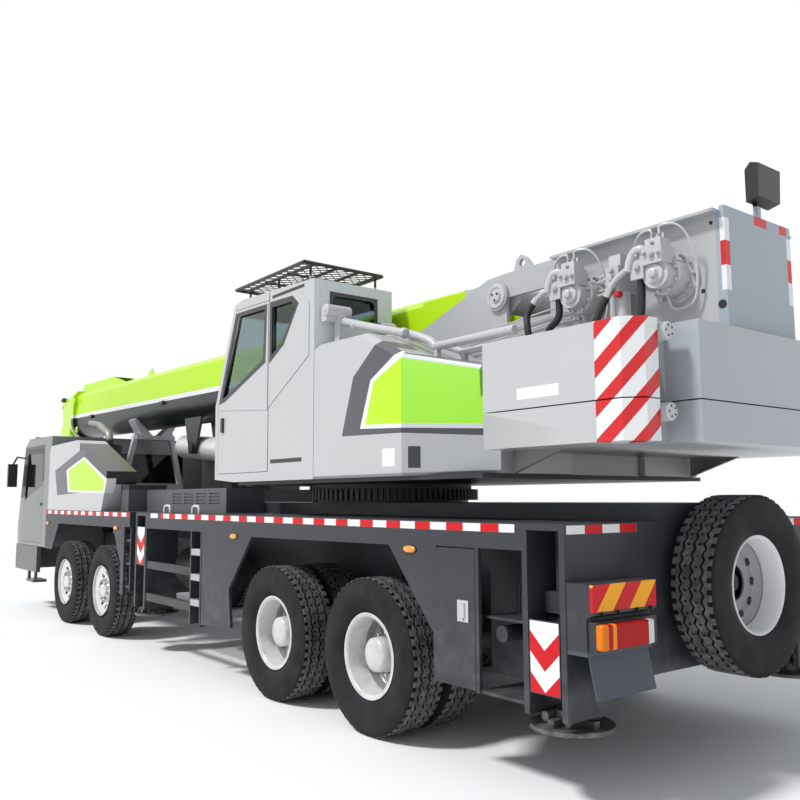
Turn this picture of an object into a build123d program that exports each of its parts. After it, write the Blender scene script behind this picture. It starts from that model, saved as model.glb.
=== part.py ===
"""Four-axle truck crane with a telescopic boom, in millimetres.

Lengths are first measured from the rearmost axle: +X forward, +Y left, +Z up,
with the ground at z = 0. save() then moves every node to the shared origin,
which is on the ground under the middle of the crane's box.
"""

import os
from math import atan2, degrees, hypot, radians, tan

from build123d import *

os.makedirs("parts", exist_ok=True)

# ---------------------------------------------------------------- driving sizes
ORIGIN_X = 4505.316  # origin ahead of the rearmost axle
RUN = 0.3  # gap between seated pieces

TYRE_R = 542.5
TYRE_W = 300.0
RIM_R = 298.0
WHEEL_Y = 1220.0  # middle plane of each outer tyre
TWIN_PITCH = 345.0
BOGIE = 1350.0  # rear axle spacing
MID_SPAN = 4200.0  # axle 2 to axle 3
FRONT_SPAN = 1470.0  # axle 1 to axle 2
AXLE_4 = 0.0
AXLE_3 = AXLE_4 + BOGIE
AXLE_2 = AXLE_3 + MID_SPAN
AXLE_1 = AXLE_2 + FRONT_SPAN
KING_Y = 1010.0  # kingpin

SIDE = 1385.0  # half width over the skirts
DECK_Z = 1500.0
DECK_T = 12.0
PLATE = 25.0
FENDER_FRONT = 7987.0
FENDER_REAR = 4595.0
SKIRT_LOW = 500.0
BAND_LOW = 1330.0  # lower edge of the deck's edge band

RAIL_Y = 430.0
RAIL_W = 90.0
RAIL_LOW = 800.0
RAIL_TOP = 1150.0
BOX_HALF = 560.0  # spine box under the slewing ring
BOX_TOP = 1606.0

BEAM_Z0, BEAM_Z1 = 620.0, 920.0  # outrigger beams
BEAM_W = 105.0
BEAM_GAP = 12.0
HOUSE_T = 10.0
PAIR = BEAM_W + BEAM_GAP / 2  # from a housing's middle to a beam's far side
HOUSE_HALF = PAIR + BEAM_GAP + HOUSE_T
POST_W = 40.0
POST_HALF = HOUSE_HALF + 25.0  # outer face of a frame post
OUT_REAR_X = -1870.0 + POST_HALF  # rear jack axis
OUT_FRONT_X = 4243.0
HOUSE_Y = 1080.0
JACK_Y = 1175.0
JACK_R = 68.0
JACK_ROD_R = 45.0
JACK_TOP = DECK_Z - 50.0
FLOAT_R = 235.0
FLOAT_Z = 385.0

SLEW_X = 1500.0
RING_R = 800.0
TOOTH = 30.0
RING_Z0, RING_Z1 = 1625.0, 1765.0
UPPER_Z = 1800.0  # underside of the superstructure's panels

PLATE_Y = 385.0  # outer face of the superstructure's side plates
PLATE_T = 30.0
PIVOT_X, PIVOT_Z = -400.0, 3180.0
PIVOT_R = 70.0
TAIL_X = -2300.0
TAIL_TOP = 3350.0
LUFF_X, LUFF_Z = 1550.0, 1990.0  # foot pin of the luffing cylinder
FRONT_WINCH_X, REAR_WINCH_X = -1290.0, -1960.0
WINCH_Z = 2990.0

CAB_REAR, CAB_FRONT = 895.0, 2700.0
CAB_IN, CAB_OUT = 440.0, 1250.0
CAB_TOP = 3525.0
CAB_WALL = 45.0
PANE = 6.0

CW_FRONT, CW_REAR = -1116.0, -2270.0
CW_BLOCK_REAR = -2400.0
CW_HALF = 1250.0
CW_Z0, CW_SEAM, CW_Z1 = 1941.0, 2168.0, 2606.0
CW_CENTRE = 860.0  # half width of the block at the rear

BOOM_TILT = 0.9  # degrees, nose up
BOOM_W = 600.0
BOOM_H = 790.0
BOOM_TOP_AT_PIVOT = 3360.0
BOOM_WALL = 12.0
BOOM_STEP = 48.0  # each inner section is this much narrower and lower
BOOM_FRONT = 10400.0
COLLAR_T = 110.0
COLLAR_RISE = 45.0
CHEEK_T = 22.0
BOOM_MID = BOOM_TOP_AT_PIVOT - BOOM_H / 2
LUG_X, LUG_Z = 5600.0, 2230.0  # cylinder's pin on the boom, boom level
CYL_R = 160.0
CYL_BORE = 112.0
CYL_ROD_R = 105.0

CARRIER_CAB_REAR, CARRIER_CAB_FRONT = 7990.0, 9720.0
CARRIER_CAB_HALF = 1340.0
CARRIER_CAB_LOW, CARRIER_CAB_TOP = 950.0, 2600.0
CAB_HINGE_X = 9500.0 + RUN / 2
TOOL_HINGE_X = -805.0 - RUN / 2
OP_HINGE_X = 1655.0 - RUN / 2
REST_X = 7500.0
SILENCER_X, SILENCER_Y, SILENCER_R = 7150.0, 780.0, 170.0
LAMP_X = -2050.0
SPARE_X, SPARE_Z = -2070.0, 1115.0


# ---------------------------------------------------------------- helpers
def block(x0, x1, y0, y1, z0, z1):
    """Box between two corners."""
    middle = Pos((x0 + x1) / 2, (y0 + y1) / 2, (z0 + z1) / 2)
    return middle * Box(abs(x1 - x0), abs(y1 - y0), abs(z1 - z0))


def plate_y(points, y0, y1):
    """Side-view outline (x, z) made solid from y0 to y1."""
    outline = Polyline(*[(x, y0, z) for x, z in points], close=True)
    return extrude(make_face(outline), amount=y1 - y0, dir=(0, 1, 0))


def plate_x(points, x0, x1):
    """Front-view outline (y, z) made solid from x0 to x1."""
    outline = Polyline(*[(x0, y, z) for y, z in points], close=True)
    return extrude(make_face(outline), amount=x1 - x0, dir=(1, 0, 0))


def plate_z(points, z0, z1):
    """Plan outline (x, y) made solid from z0 to z1."""
    outline = Polyline(*[(x, y, z0) for x, y in points], close=True)
    return extrude(make_face(outline), amount=z1 - z0, dir=(0, 0, 1))


def rod_x(x0, x1, y, z, r):
    return Pos((x0 + x1) / 2, y, z) * Rot(0, 90, 0) * Cylinder(r, abs(x1 - x0))


def rod_y(x, y0, y1, z, r):
    return Pos(x, (y0 + y1) / 2, z) * Rot(90, 0, 0) * Cylinder(r, abs(y1 - y0))


def rod_z(x, y, z0, z1, r):
    return Pos(x, y, (z0 + z1) / 2) * Cylinder(r, abs(z1 - z0))


def flip(shape):
    """Mirror image on the crane's other side."""
    return mirror(shape, about=Plane.XZ)


def both(shape):
    return shape + flip(shape)


def joined(shapes):
    """All of the shapes as one."""
    first, *rest = shapes
    for shape in rest:
        first = first + shape
    return first


def bent_bar(points, r, bend=2.2):
    """Round bar along straight runs with bent corners; bend is the radius in bar radii."""
    path = Polyline(*points) if len(points) < 3 else FilletPolyline(*points, radius=bend * r)
    return sweep((path ^ 0) * Circle(r), path=path)


def clamped(points, x_limit, side):
    """Outline whose x stays on one side of a limit."""
    choose = min if side == "below" else max
    return [(choose(x, x_limit), z) for x, z in points]


def grown(points, d):
    """Convex outline moved outwards by d on each side of its middle."""
    mx = sum(p[0] for p in points) / len(points)
    mz = sum(p[1] for p in points) / len(points)
    return [(x + (d if x > mx else -d), z + (d if z > mz else -d)) for x, z in points]


def save(shape, name):
    export_step(Pos(-ORIGIN_X, 0, 0) * shape, f"parts/{name}.step")


# ---------------------------------------------------------------- wheels
FLANGE_Y = 118.0  # rim edge from the tyre's middle
SEAT_R = RIM_R - 28.0
HUB_R = 85.0
BORE_R = 46.0
SPINDLE_R = 45.0
CAP_Y = 150.0  # hub cap's end from the tyre's middle


def chain(points):
    return [Line(a, b) for a, b in zip(points, points[1:])]


def tyre_edges(mid):
    """Tyre outline (y, r) from its outer bead round the tread to its inner bead."""
    half = TYRE_W / 2
    tread = half - 38
    edge = tread + 14
    shoulder = TYRE_R - 16
    bulge = (RIM_R + TYRE_R) / 2 + 12
    bead = FLANGE_Y + 4
    return [
        Line((mid + FLANGE_Y, RIM_R), (mid + bead, RIM_R + 6)),
        ThreePointArc((mid + bead, RIM_R + 6), (mid + half, bulge), (mid + edge, shoulder)),
        *chain([(mid + edge, shoulder), (mid + tread, TYRE_R)]),
        *chain([(mid + tread, TYRE_R), (mid - tread, TYRE_R), (mid - edge, shoulder)]),
        ThreePointArc((mid - edge, shoulder), (mid - half, bulge), (mid - bead, RIM_R + 6)),
        Line((mid - bead, RIM_R + 6), (mid - FLANGE_Y, RIM_R)),
    ]


def revolved(edges):
    """Outline (y, r) in the plane of the axle, turned round the axle."""
    return revolve(make_face(edges), axis=Axis.X, revolution_arc=360)


def to_wheel(shape, x, y, side):
    """Turn the outline's own axis onto the axle, outer face to the given side."""
    placed = Rot(0, 0, 90) * shape
    placed = placed if side > 0 else flip(placed)
    return Pos(x, side * y, TYRE_R) * placed


def ring(count, pitch_r, r, y0, y1):
    """Round bars parallel to the axle, evenly spaced on a circle."""
    bar = Pos((y0 + y1) / 2, 0, pitch_r) * Rot(0, 90, 0) * Cylinder(r, y1 - y0)
    return [Rot(360 * k / count, 0, 0) * bar for k in range(count)]


dish = [
    (CAP_Y, 0),
    (CAP_Y, 55),
    (132, 78),
    (75, HUB_R),
    (62, 150),
    (92, 232),
    (100, SEAT_R - 8),
    (FLANGE_Y, SEAT_R),
    (FLANGE_Y, RIM_R),
]
dish_back = [(-FLANGE_Y, RIM_R), (-FLANGE_Y, SEAT_R), (-100, 258), (72, 250), (80, 232), (48, 150)]
hub_bore = [(48, 110), (0, 110), (0, BORE_R), (100, BORE_R), (100, 0), (CAP_Y, 0)]
front_wheel = revolved([*chain(dish), *tyre_edges(0), *chain(dish_back + hub_bore)])
for hole in ring(10, 200, 26, 20, 130):
    front_wheel = front_wheel - hole
for nut in ring(10, 125, 15, 60, 90):
    front_wheel = front_wheel + nut

deep_dish = [
    (78, 0),
    (78, 88),
    (60, 118),
    (-70, 130),
    (-84, 165),
    (-128, 172),
    (-128, 236),
    (-104, 262),
    (100, 262),
    (FLANGE_Y, SEAT_R),
    (FLANGE_Y, RIM_R),
]
between = [
    (-FLANGE_Y, RIM_R),
    (-FLANGE_Y, SEAT_R),
    (-132, 262),
    (-TWIN_PITCH + 132, 262),
    (-TWIN_PITCH + FLANGE_Y, SEAT_R),
    (-TWIN_PITCH + FLANGE_Y, RIM_R),
]
inner_rim = [
    (-TWIN_PITCH - FLANGE_Y, RIM_R),
    (-TWIN_PITCH - FLANGE_Y, SEAT_R),
    (-TWIN_PITCH - 100, 254),
    (-150, 250),
    (-150, BORE_R),
    (20, BORE_R),
    (20, 0),
    (78, 0),
]
twin_wheel = revolved(
    [*chain(deep_dish), *tyre_edges(0), *chain(between), *tyre_edges(-TWIN_PITCH), *chain(inner_rim)]
)
for hole in ring(8, 205, 24, -160, -100):
    twin_wheel = twin_wheel - hole
for nut in ring(10, 148, 14, -90, -62):
    twin_wheel = twin_wheel + nut

sides = (("left", 1), ("right", -1))
for side_name, side in sides:
    for axle, x in (("1", AXLE_1), ("2", AXLE_2)):
        save(to_wheel(front_wheel, x, WHEEL_Y, side), f"front_wheel_{axle}_{side_name}")
    for axle, x in (("3", AXLE_3), ("4", AXLE_4)):
        save(to_wheel(twin_wheel, x, WHEEL_Y, side), f"twin_wheel_{axle}_{side_name}")

# The spare hangs across the rear on a bracket from the frame.
spare = revolved([*chain(dish), *tyre_edges(0), *chain([*dish_back, (48, 0), (CAP_Y, 0)])])
for hole in ring(10, 200, 26, 20, 130):
    spare = spare - hole
spare = Pos(SPARE_X, 0, SPARE_Z) * Rot(0, 0, 180) * spare
frame_rear = OUT_REAR_X - POST_HALF
save(spare + rod_x(SPARE_X - 120, frame_rear - RUN, 0, SPARE_Z, 60), "spare_wheel")

# ---------------------------------------------------------------- front axles, knuckles
EYE_R = 55.0
PIN_R = 25.0
EYE_Z0, EYE_Z1 = TYRE_R - 75, TYRE_R + 75
ARM_T = 42.0
ARM_GAP = 5.0
DRUM_R = 200.0
SPRING_HALF = 520.0
YOKE_Z0, YOKE_Z1 = EYE_Z0 - ARM_GAP - ARM_T, EYE_Z1 + ARM_GAP + ARM_T


def dead_axle(x):
    """Beam between two kingpin eyes, with its leaf springs and their hangers."""
    beam = block(x - 60, x + 60, -KING_Y + 30, KING_Y - 30, EYE_Z0 + 10, EYE_Z1 - 10)
    eye = rod_z(x, KING_Y, EYE_Z0, EYE_Z1, EYE_R)
    pin_hole = rod_z(x, KING_Y, EYE_Z0 - 5, EYE_Z1 + 5, PIN_R + 0.05)
    seat = block(x - 60, x + 60, RAIL_Y + 5, RAIL_Y + 85, EYE_Z1 - 20, RAIL_LOW - 60)
    spring = block(x - SPRING_HALF, x + SPRING_HALF, RAIL_Y + 5, RAIL_Y + 85, RAIL_LOW - 110, RAIL_LOW - 60)
    hangers = joined(
        block(x + end - 35, x + end + 35, RAIL_Y + 5, RAIL_Y + 85, RAIL_LOW - 110, RAIL_LOW)
        for end in (30 - SPRING_HALF, SPRING_HALF - 30)
    )
    return beam + both(eye + seat + spring + hangers) - both(pin_hole)


save(dead_axle(AXLE_1) + dead_axle(AXLE_2), "front_axles")

for axle, x in (("1", AXLE_1), ("2", AXLE_2)):
    knuckle = rod_z(x, KING_Y, YOKE_Z0, YOKE_Z1, PIN_R)
    knuckle = knuckle + block(x - 55, x + 55, KING_Y - 48, KING_Y + 95, YOKE_Z0, YOKE_Z0 + ARM_T)
    knuckle = knuckle + block(x - 55, x + 55, KING_Y - 48, KING_Y + 95, YOKE_Z1 - ARM_T, YOKE_Z1)
    knuckle = knuckle + block(x - 55, x + 55, KING_Y + 66, KING_Y + 95, YOKE_Z0, YOKE_Z1)
    knuckle = knuckle + rod_y(x, KING_Y + 95, WHEEL_Y - 15, TYRE_R, DRUM_R)
    knuckle = knuckle + rod_y(x, WHEEL_Y - 20, WHEEL_Y + 90, TYRE_R, SPINDLE_R)
    save(knuckle, f"knuckle_{axle}_left")
    save(flip(knuckle), f"knuckle_{axle}_right")

# ---------------------------------------------------------------- rear axles
AXLE_TUBE_R = 80.0
WALK_Y = BOX_HALF + 5.0  # walking beam's inner face


def drive_axle(x):
    """Axle tube with its round differential, brake drums and stub ends."""
    half = rod_y(x, 0, 800, TYRE_R, AXLE_TUBE_R) + rod_y(x, 800, WHEEL_Y - 165, TYRE_R, DRUM_R)
    half = half + rod_y(x, WHEEL_Y - 170, WHEEL_Y + 10, TYRE_R, SPINDLE_R)
    return both(half) + Pos(x, 0, TYRE_R) * Sphere(DRUM_R + 5)


bogie_mid = (AXLE_3 + AXLE_4) / 2
walking_beam = block(AXLE_4 - 90, AXLE_3 + 90, WALK_Y, WALK_Y + 100, TYRE_R - 60, TYRE_R + 60)
saddle = block(bogie_mid - 130, bogie_mid + 130, WALK_Y, WALK_Y + 100, TYRE_R, RAIL_LOW + 200)
saddle_x = (bogie_mid - 130, bogie_mid + 130)
saddle = saddle + block(*saddle_x, BOX_HALF + RUN, WALK_Y, RAIL_LOW + 60, RAIL_LOW + 200)
save(drive_axle(AXLE_3) + drive_axle(AXLE_4) + both(walking_beam + saddle), "rear_axles")

# ---------------------------------------------------------------- chassis frame, slewing ring
PEDESTAL_R = RING_R - 60.0
rail_rear = OUT_FRONT_X + HOUSE_HALF
rail_front = CARRIER_CAB_FRONT - 250.0
frame = both(block(rail_rear, rail_front - RUN, RAIL_Y, RAIL_Y + RAIL_W, RAIL_LOW, RAIL_TOP))
spine_x = (OUT_REAR_X + HOUSE_HALF, OUT_FRONT_X - HOUSE_HALF)
frame = frame + block(*spine_x, -BOX_HALF, BOX_HALF, RAIL_LOW, BOX_TOP)
for x in (AXLE_2 - 420, AXLE_1 + 800, rail_front - 250):
    frame = frame + block(x - 50, x + 50, -RAIL_Y, RAIL_Y, RAIL_LOW + 60, RAIL_TOP - 60)
frame = frame + rod_z(SLEW_X, 0, BOX_TOP, RING_Z0, PEDESTAL_R)
save(frame, "chassis_frame")

TEETH = 96
gear = []
for tooth in range(TEETH):
    for share, r in ((0.0, RING_R), (0.3, RING_R), (0.42, RING_R + TOOTH), (0.88, RING_R + TOOTH)):
        gear.append(Vector(r, 0).rotate(Axis.Z, 360 * (tooth + share) / TEETH))
slewing_ring = plate_z([(SLEW_X + v.X, v.Y) for v in gear], RING_Z0 + RUN, RING_Z1 - 40)
save(slewing_ring + rod_z(SLEW_X, 0, RING_Z1 - 40, RING_Z1 - RUN, RING_R - 30), "slewing_ring")

# ---------------------------------------------------------------- outriggers
def housing(xc):
    """Box across the crane that holds two beams side by side, between its end frames."""
    wall = HOUSE_HALF - HOUSE_T
    top = BEAM_Z1 + BEAM_GAP
    outer = block(xc - HOUSE_HALF, xc + HOUSE_HALF, -HOUSE_Y, HOUSE_Y, BEAM_Z0 - RUN - HOUSE_T, top + HOUSE_T)
    bore = block(xc - wall, xc + wall, -HOUSE_Y - 1, HOUSE_Y + 1, BEAM_Z0 - RUN, top)
    posts = joined(
        block(xc + s * POST_HALF, xc + s * (POST_HALF - POST_W), HOUSE_Y - 60, SIDE, SKIRT_LOW - 40, DECK_Z)
        for s in (-1, 1)
    )
    gusset = joined(
        block(xc + s * POST_HALF, xc + s * (HOUSE_HALF - 1), HOUSE_Y - 60, HOUSE_Y, BEAM_Z0, top)
        for s in (-1, 1)
    )
    cap = block(xc - POST_HALF, xc + POST_HALF, HOUSE_Y - 60, SIDE, JACK_TOP + 12, DECK_Z)
    return outer - bore + both(posts + gusset + cap)


def beam_and_jack(xc, lane, side, sign_z0, sign_z1):
    """Sliding beam in its lane, with the jack's tube and the marker plate at its outer end."""
    near, far = xc + lane * BEAM_GAP / 2, xc + lane * PAIR
    x0, x1 = min(near, far), max(near, far)
    beam = block(x0, x1, -HOUSE_Y + 60, HOUSE_Y + 20, BEAM_Z0, BEAM_Z1)
    beam = beam - block(x0 + 12, x1 - 12, -HOUSE_Y + 50, HOUSE_Y - 80, BEAM_Z0 + 12, BEAM_Z1 - 12)
    beam = beam + block(xc - PAIR, xc + PAIR, HOUSE_Y + 10, JACK_Y + 50, BEAM_Z0 - 30, BEAM_Z1 + 55)
    beam = beam + rod_z(xc, JACK_Y, BEAM_Z0 - 60, JACK_TOP, JACK_R)
    beam = beam + block(xc - PAIR + 8, xc + PAIR - 8, JACK_Y - 50, JACK_Y + 84, 1000, 1120)
    beam = beam - rod_z(xc, JACK_Y, BEAM_Z0 - 70, JACK_TOP - 20, JACK_ROD_R + RUN)
    plate = block(xc - PAIR, xc + PAIR, SIDE - 12, SIDE, sign_z0, sign_z1)
    arm_z = (max(BEAM_Z0, sign_z0), min(BEAM_Z1, sign_z1))
    arm = block(xc - PAIR + 20, xc + PAIR - 20, JACK_Y + 50, SIDE - 12, *arm_z)
    return beam + arm + plate if side > 0 else flip(beam + arm + plate)


def jack_foot(xc, side):
    """Jack rod with its ribbed round float, raised for the road."""
    foot = rod_z(xc, JACK_Y, FLOAT_Z + 40, JACK_TOP - 70, JACK_ROD_R)
    foot = foot + rod_z(xc, JACK_Y, FLOAT_Z, FLOAT_Z + 22, FLOAT_R)
    foot = foot + rod_z(xc, JACK_Y, FLOAT_Z + 22, FLOAT_Z + 95, 85)
    for rib_x, rib_y in ((175, 22), (22, 175)):
        rib_sides = (xc - rib_x, xc + rib_x, JACK_Y - rib_y, JACK_Y + rib_y)
        foot = foot + block(*rib_sides, FLOAT_Z + 22, FLOAT_Z + 60)
    for dx in (-82, 82):
        foot = foot + rod_y(xc + dx, JACK_Y - 130, JACK_Y + 130, FLOAT_Z + 60, 26)
    return foot if side > 0 else flip(foot)


houses = housing(OUT_REAR_X) + housing(OUT_FRONT_X)
house_top = BEAM_Z1 + BEAM_GAP + HOUSE_T
for xc in (OUT_REAR_X, OUT_FRONT_X):
    houses = houses + block(xc - HOUSE_HALF, xc + HOUSE_HALF, -BOX_HALF, BOX_HALF, house_top, BOX_TOP)
rear_wall = block(frame_rear, frame_rear + PLATE, BOX_HALF, HOUSE_Y - 60, house_top - HOUSE_T, DECK_Z)
rear_wall = rear_wall + block(frame_rear, OUT_REAR_X - HOUSE_HALF, 0, BOX_HALF, house_top - HOUSE_T, BOX_TOP)
rear_deck = block(frame_rear, OUT_REAR_X + POST_HALF, BOX_HALF, HOUSE_Y - 60, DECK_Z - DECK_T, DECK_Z)
save(houses + both(rear_wall + rear_deck), "outrigger_housings")

for name, xc, sign_z0, sign_z1 in (("front", OUT_FRONT_X, 930, 1345), ("rear", OUT_REAR_X, 580, 975)):
    for side_name, side, lane in (("left", 1, -1), ("right", -1, 1)):
        save(beam_and_jack(xc, lane, side, sign_z0, sign_z1), f"outrigger_beam_{name}_{side_name}")
        save(jack_foot(xc, side), f"jack_foot_{name}_{side_name}")

# ---------------------------------------------------------------- deck and fenders
deck_rear = OUT_REAR_X + POST_HALF + RUN
deck_front = OUT_FRONT_X - POST_HALF - RUN
TOOL_REAR = TOOL_HINGE_X - 355.0  # closing edge of the tool-box door
DOOR_TOP = 1345.0
BAY_BACK = 900.0
ARCH_TOP = 1315.0
skirt_outline = [
    (deck_front, DECK_Z),
    (deck_front, BAND_LOW),
    (2665, BAND_LOW),
    (2655, SKIRT_LOW - 40),
    (2037, SKIRT_LOW),
    (2083, 840),
    (1673, ARCH_TOP),
    (-305, BAND_LOW),
    (-775, 800),
    (-775, SKIRT_LOW),
    (TOOL_HINGE_X + RUN / 2, SKIRT_LOW),
    (TOOL_HINGE_X + RUN / 2, DOOR_TOP),
    (TOOL_REAR - 5, DOOR_TOP),
    (TOOL_REAR - 5, SKIRT_LOW),
    (TOOL_REAR - 35, SKIRT_LOW),
    (TOOL_REAR - 35, DOOR_TOP),
    (deck_rear, DOOR_TOP),
    (deck_rear, DECK_Z),
]
deck = plate_y(skirt_outline, SIDE - PLATE, SIDE)
deck = deck + block(deck_rear, deck_front, BOX_HALF + RUN, SIDE - PLATE, DECK_Z - DECK_T, DECK_Z)
for x in (50, 2450, 3800):
    deck = deck + block(x - 150, x + 150, BOX_HALF + RUN, SIDE - PLATE, DECK_Z - 100, DECK_Z - DECK_T)
# The open bay behind the tool box: back wall, floor, shelf, cross tube and gusset.
bay = (deck_rear, TOOL_REAR - 35)
deck = deck + block(deck_rear, TOOL_HINGE_X, BAY_BACK, BAY_BACK + 10, SKIRT_LOW, DECK_Z - DECK_T)
deck = deck + block(*bay, BAY_BACK, SIDE - 10, SKIRT_LOW, SKIRT_LOW + 20)
deck = deck + block(*bay, BAY_BACK, SIDE - 60, 930, 945)
deck = deck + rod_y(bay[1] - 120, BAY_BACK, SIDE - 70, 850, 48)
gusset = plate_x([(910, 510), (1310, 510), (1310, 560), (980, 940), (910, 940)], bay[0] + 60, bay[0] + 75)
save(both(deck + gusset), "carrier_deck")

fender_outline = [
    (FENDER_FRONT, DECK_Z),
    (FENDER_FRONT, 950),
    (7640, 950),
    (7350, ARCH_TOP),
    (5150, ARCH_TOP),
    (4860, 900),
    (4860, 560),
    (FENDER_REAR + 165, 560),
    (FENDER_REAR + 165, BAND_LOW),
    (FENDER_REAR, BAND_LOW),
    (FENDER_REAR, DECK_Z),
]
fender = plate_y(fender_outline, SIDE - PLATE, SIDE)
fender = fender + block(FENDER_REAR, FENDER_FRONT, RAIL_Y + RAIL_W, SIDE - PLATE, DECK_Z - DECK_T, DECK_Z)
for x in (FENDER_REAR + 60, AXLE_1 - 735, FENDER_FRONT - 60):
    fender = fender + block(x - 30, x + 30, RAIL_Y, RAIL_Y + RAIL_W + 60, RAIL_TOP, DECK_Z - DECK_T)
# Small ladder frame between the front outrigger and the wheels.
for z in (640, 900, 1160):
    fender = fender + block(FENDER_REAR + 20, FENDER_REAR + 175, SIDE - 70, SIDE - 20, z, z + 30)
fender = fender + block(FENDER_REAR, FENDER_REAR + 25, SIDE - 70, SIDE - 20, 600, BAND_LOW)
save(both(fender), "front_fenders")

# Boxes on the deck beside the spine: louvred box and, ahead of it, the black one.
LOUVRE_FRONT = 5090.0
LOUVRE_OUT = SIDE - 385.0
louvred = block(2950, LOUVRE_FRONT, BOX_HALF + RUN, LOUVRE_OUT, DECK_Z, 1755)
for column in range(4):
    for row in range(4):
        x, z = 3100 + 320 * column, 1590 + 34 * row
        louvred = louvred - block(x, x + 250, LOUVRE_OUT - 12, LOUVRE_OUT + 1, z, z + 16)
black_box = block(5170, 5440, 720, 1200, DECK_Z, 1820) + block(5440, 6120, 720, 990, DECK_Z, 1820)
save(both(louvred + black_box), "deck_boxes")

# ---------------------------------------------------------------- carrier cab
cab_side = [
    (CARRIER_CAB_REAR, CARRIER_CAB_LOW),
    (CARRIER_CAB_FRONT, CARRIER_CAB_LOW),
    (CARRIER_CAB_FRONT + 20, 1250),
    (CARRIER_CAB_FRONT - 60, 1600),
    (CARRIER_CAB_FRONT - 260, 2480),
    (CARRIER_CAB_FRONT - 480, CARRIER_CAB_TOP),
    (CARRIER_CAB_REAR, CARRIER_CAB_TOP - 20),
]
CAB_FLOOR = CARRIER_CAB_LOW + 350
cab_in = [
    (CARRIER_CAB_REAR + CAB_WALL, CAB_FLOOR),
    (CARRIER_CAB_FRONT - 30, CAB_FLOOR),
    (CARRIER_CAB_FRONT - 108, 1600),
    (CARRIER_CAB_FRONT - 305, 2455),
    (CARRIER_CAB_FRONT - 500, CARRIER_CAB_TOP - CAB_WALL),
    (CARRIER_CAB_REAR + CAB_WALL, CARRIER_CAB_TOP - 65),
]
DOOR = [(8360, 1000), (9500, 1000), (9500, 1750), (9330, 2420), (8360, 2400)]
WINDOW = [(8430, 1860), (9400, 1640), (9280, 2360), (8430, 2350)]
SCREEN_HALF, SCREEN_Z0, SCREEN_Z1 = 1180.0, 1680.0, 2380.0
REAR_HALF, REAR_Z0, REAR_Z1 = 700.0, 1900.0, 2350.0


def x_at(low, high, z):
    """x at height z on the line between two (x, z) points."""
    return low[0] + (high[0] - low[0]) * (z - low[1]) / (high[1] - low[1])


def slanted_pane(outer, inner, z0, z1, y0, y1):
    """Pane halfway between a wall's outer and inner lines, from z0 to z1."""
    mids = [(x_at(*outer, z) + x_at(*inner, z)) / 2 for z in (z0 + RUN, z1 - RUN)]
    edge = [(mids[0] - PANE / 2, z0 + RUN), (mids[0] + PANE / 2, z0 + RUN)]
    edge += [(mids[1] + PANE / 2, z1 - RUN), (mids[1] - PANE / 2, z1 - RUN)]
    return plate_y(edge, y0 + RUN, y1 - RUN)


cab = plate_y(cab_side, -CARRIER_CAB_HALF, CARRIER_CAB_HALF)
cab = cab - plate_y(cab_in, -CARRIER_CAB_HALF + CAB_WALL, CARRIER_CAB_HALF - CAB_WALL)
door_gap = clamped(grown(DOOR, 5), CAB_HINGE_X + RUN / 2, "below")
cab = cab - both(plate_y(door_gap, CARRIER_CAB_HALF - CAB_WALL - 20, CARRIER_CAB_HALF + 5))
cab = cab - block(rail_front - 170, CARRIER_CAB_FRONT + 60, -SCREEN_HALF, SCREEN_HALF, SCREEN_Z0, SCREEN_Z1)
rear_wall_x = (CARRIER_CAB_REAR - 10, CARRIER_CAB_REAR + CAB_WALL + 10)
cab = cab - block(*rear_wall_x, -REAR_HALF, REAR_HALF, REAR_Z0, REAR_Z1)
tunnel = RAIL_Y + RAIL_W + 10
tunnel_x = (CARRIER_CAB_REAR - 5, CARRIER_CAB_FRONT + 30)
cab = cab - block(*tunnel_x, -tunnel, tunnel, CARRIER_CAB_LOW - 50, RAIL_TOP + RUN)
# Roof lip over the windscreen, and a mirror on each front corner.
lip = [(9440, 2470), (9570, 2440), (9590, 2470), (9420, 2580), (9240, 2640), (9240, 2590)]
cab = cab + plate_y(lip, -1250, 1250)
mirror_arm = bent_bar([(9440, 1318, 2300), (9640, 1420, 2330), (9745, 1460, 2200)], 14)
cab = cab + both(mirror_arm + block(9715, 9775, 1390, 1530, 1850, 2220))
save(cab, "carrier_cab")

door = plate_y(DOOR, CARRIER_CAB_HALF - CAB_WALL, CARRIER_CAB_HALF)
door = door - plate_y(WINDOW, CARRIER_CAB_HALF - CAB_WALL - 5, CARRIER_CAB_HALF + 5)
door = door + plate_y(WINDOW, CARRIER_CAB_HALF - 25, CARRIER_CAB_HALF - 25 + PANE)
door = door + block(8410, 8560, CARRIER_CAB_HALF - 1, CARRIER_CAB_HALF + 22, 1560, 1600)
save(door, "cab_door_left")
save(flip(door), "cab_door_right")

front_panes = slanted_pane(cab_side[3:5], cab_in[2:4], SCREEN_Z0, SCREEN_Z1, -SCREEN_HALF, SCREEN_HALF)
rear_x = CARRIER_CAB_REAR + CAB_WALL / 2
rear_pane = block(rear_x, rear_x + PANE, RUN - REAR_HALF, REAR_HALF - RUN, REAR_Z0 + RUN, REAR_Z1 - RUN)
save(front_panes + rear_pane, "carrier_cab_glass")

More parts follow.
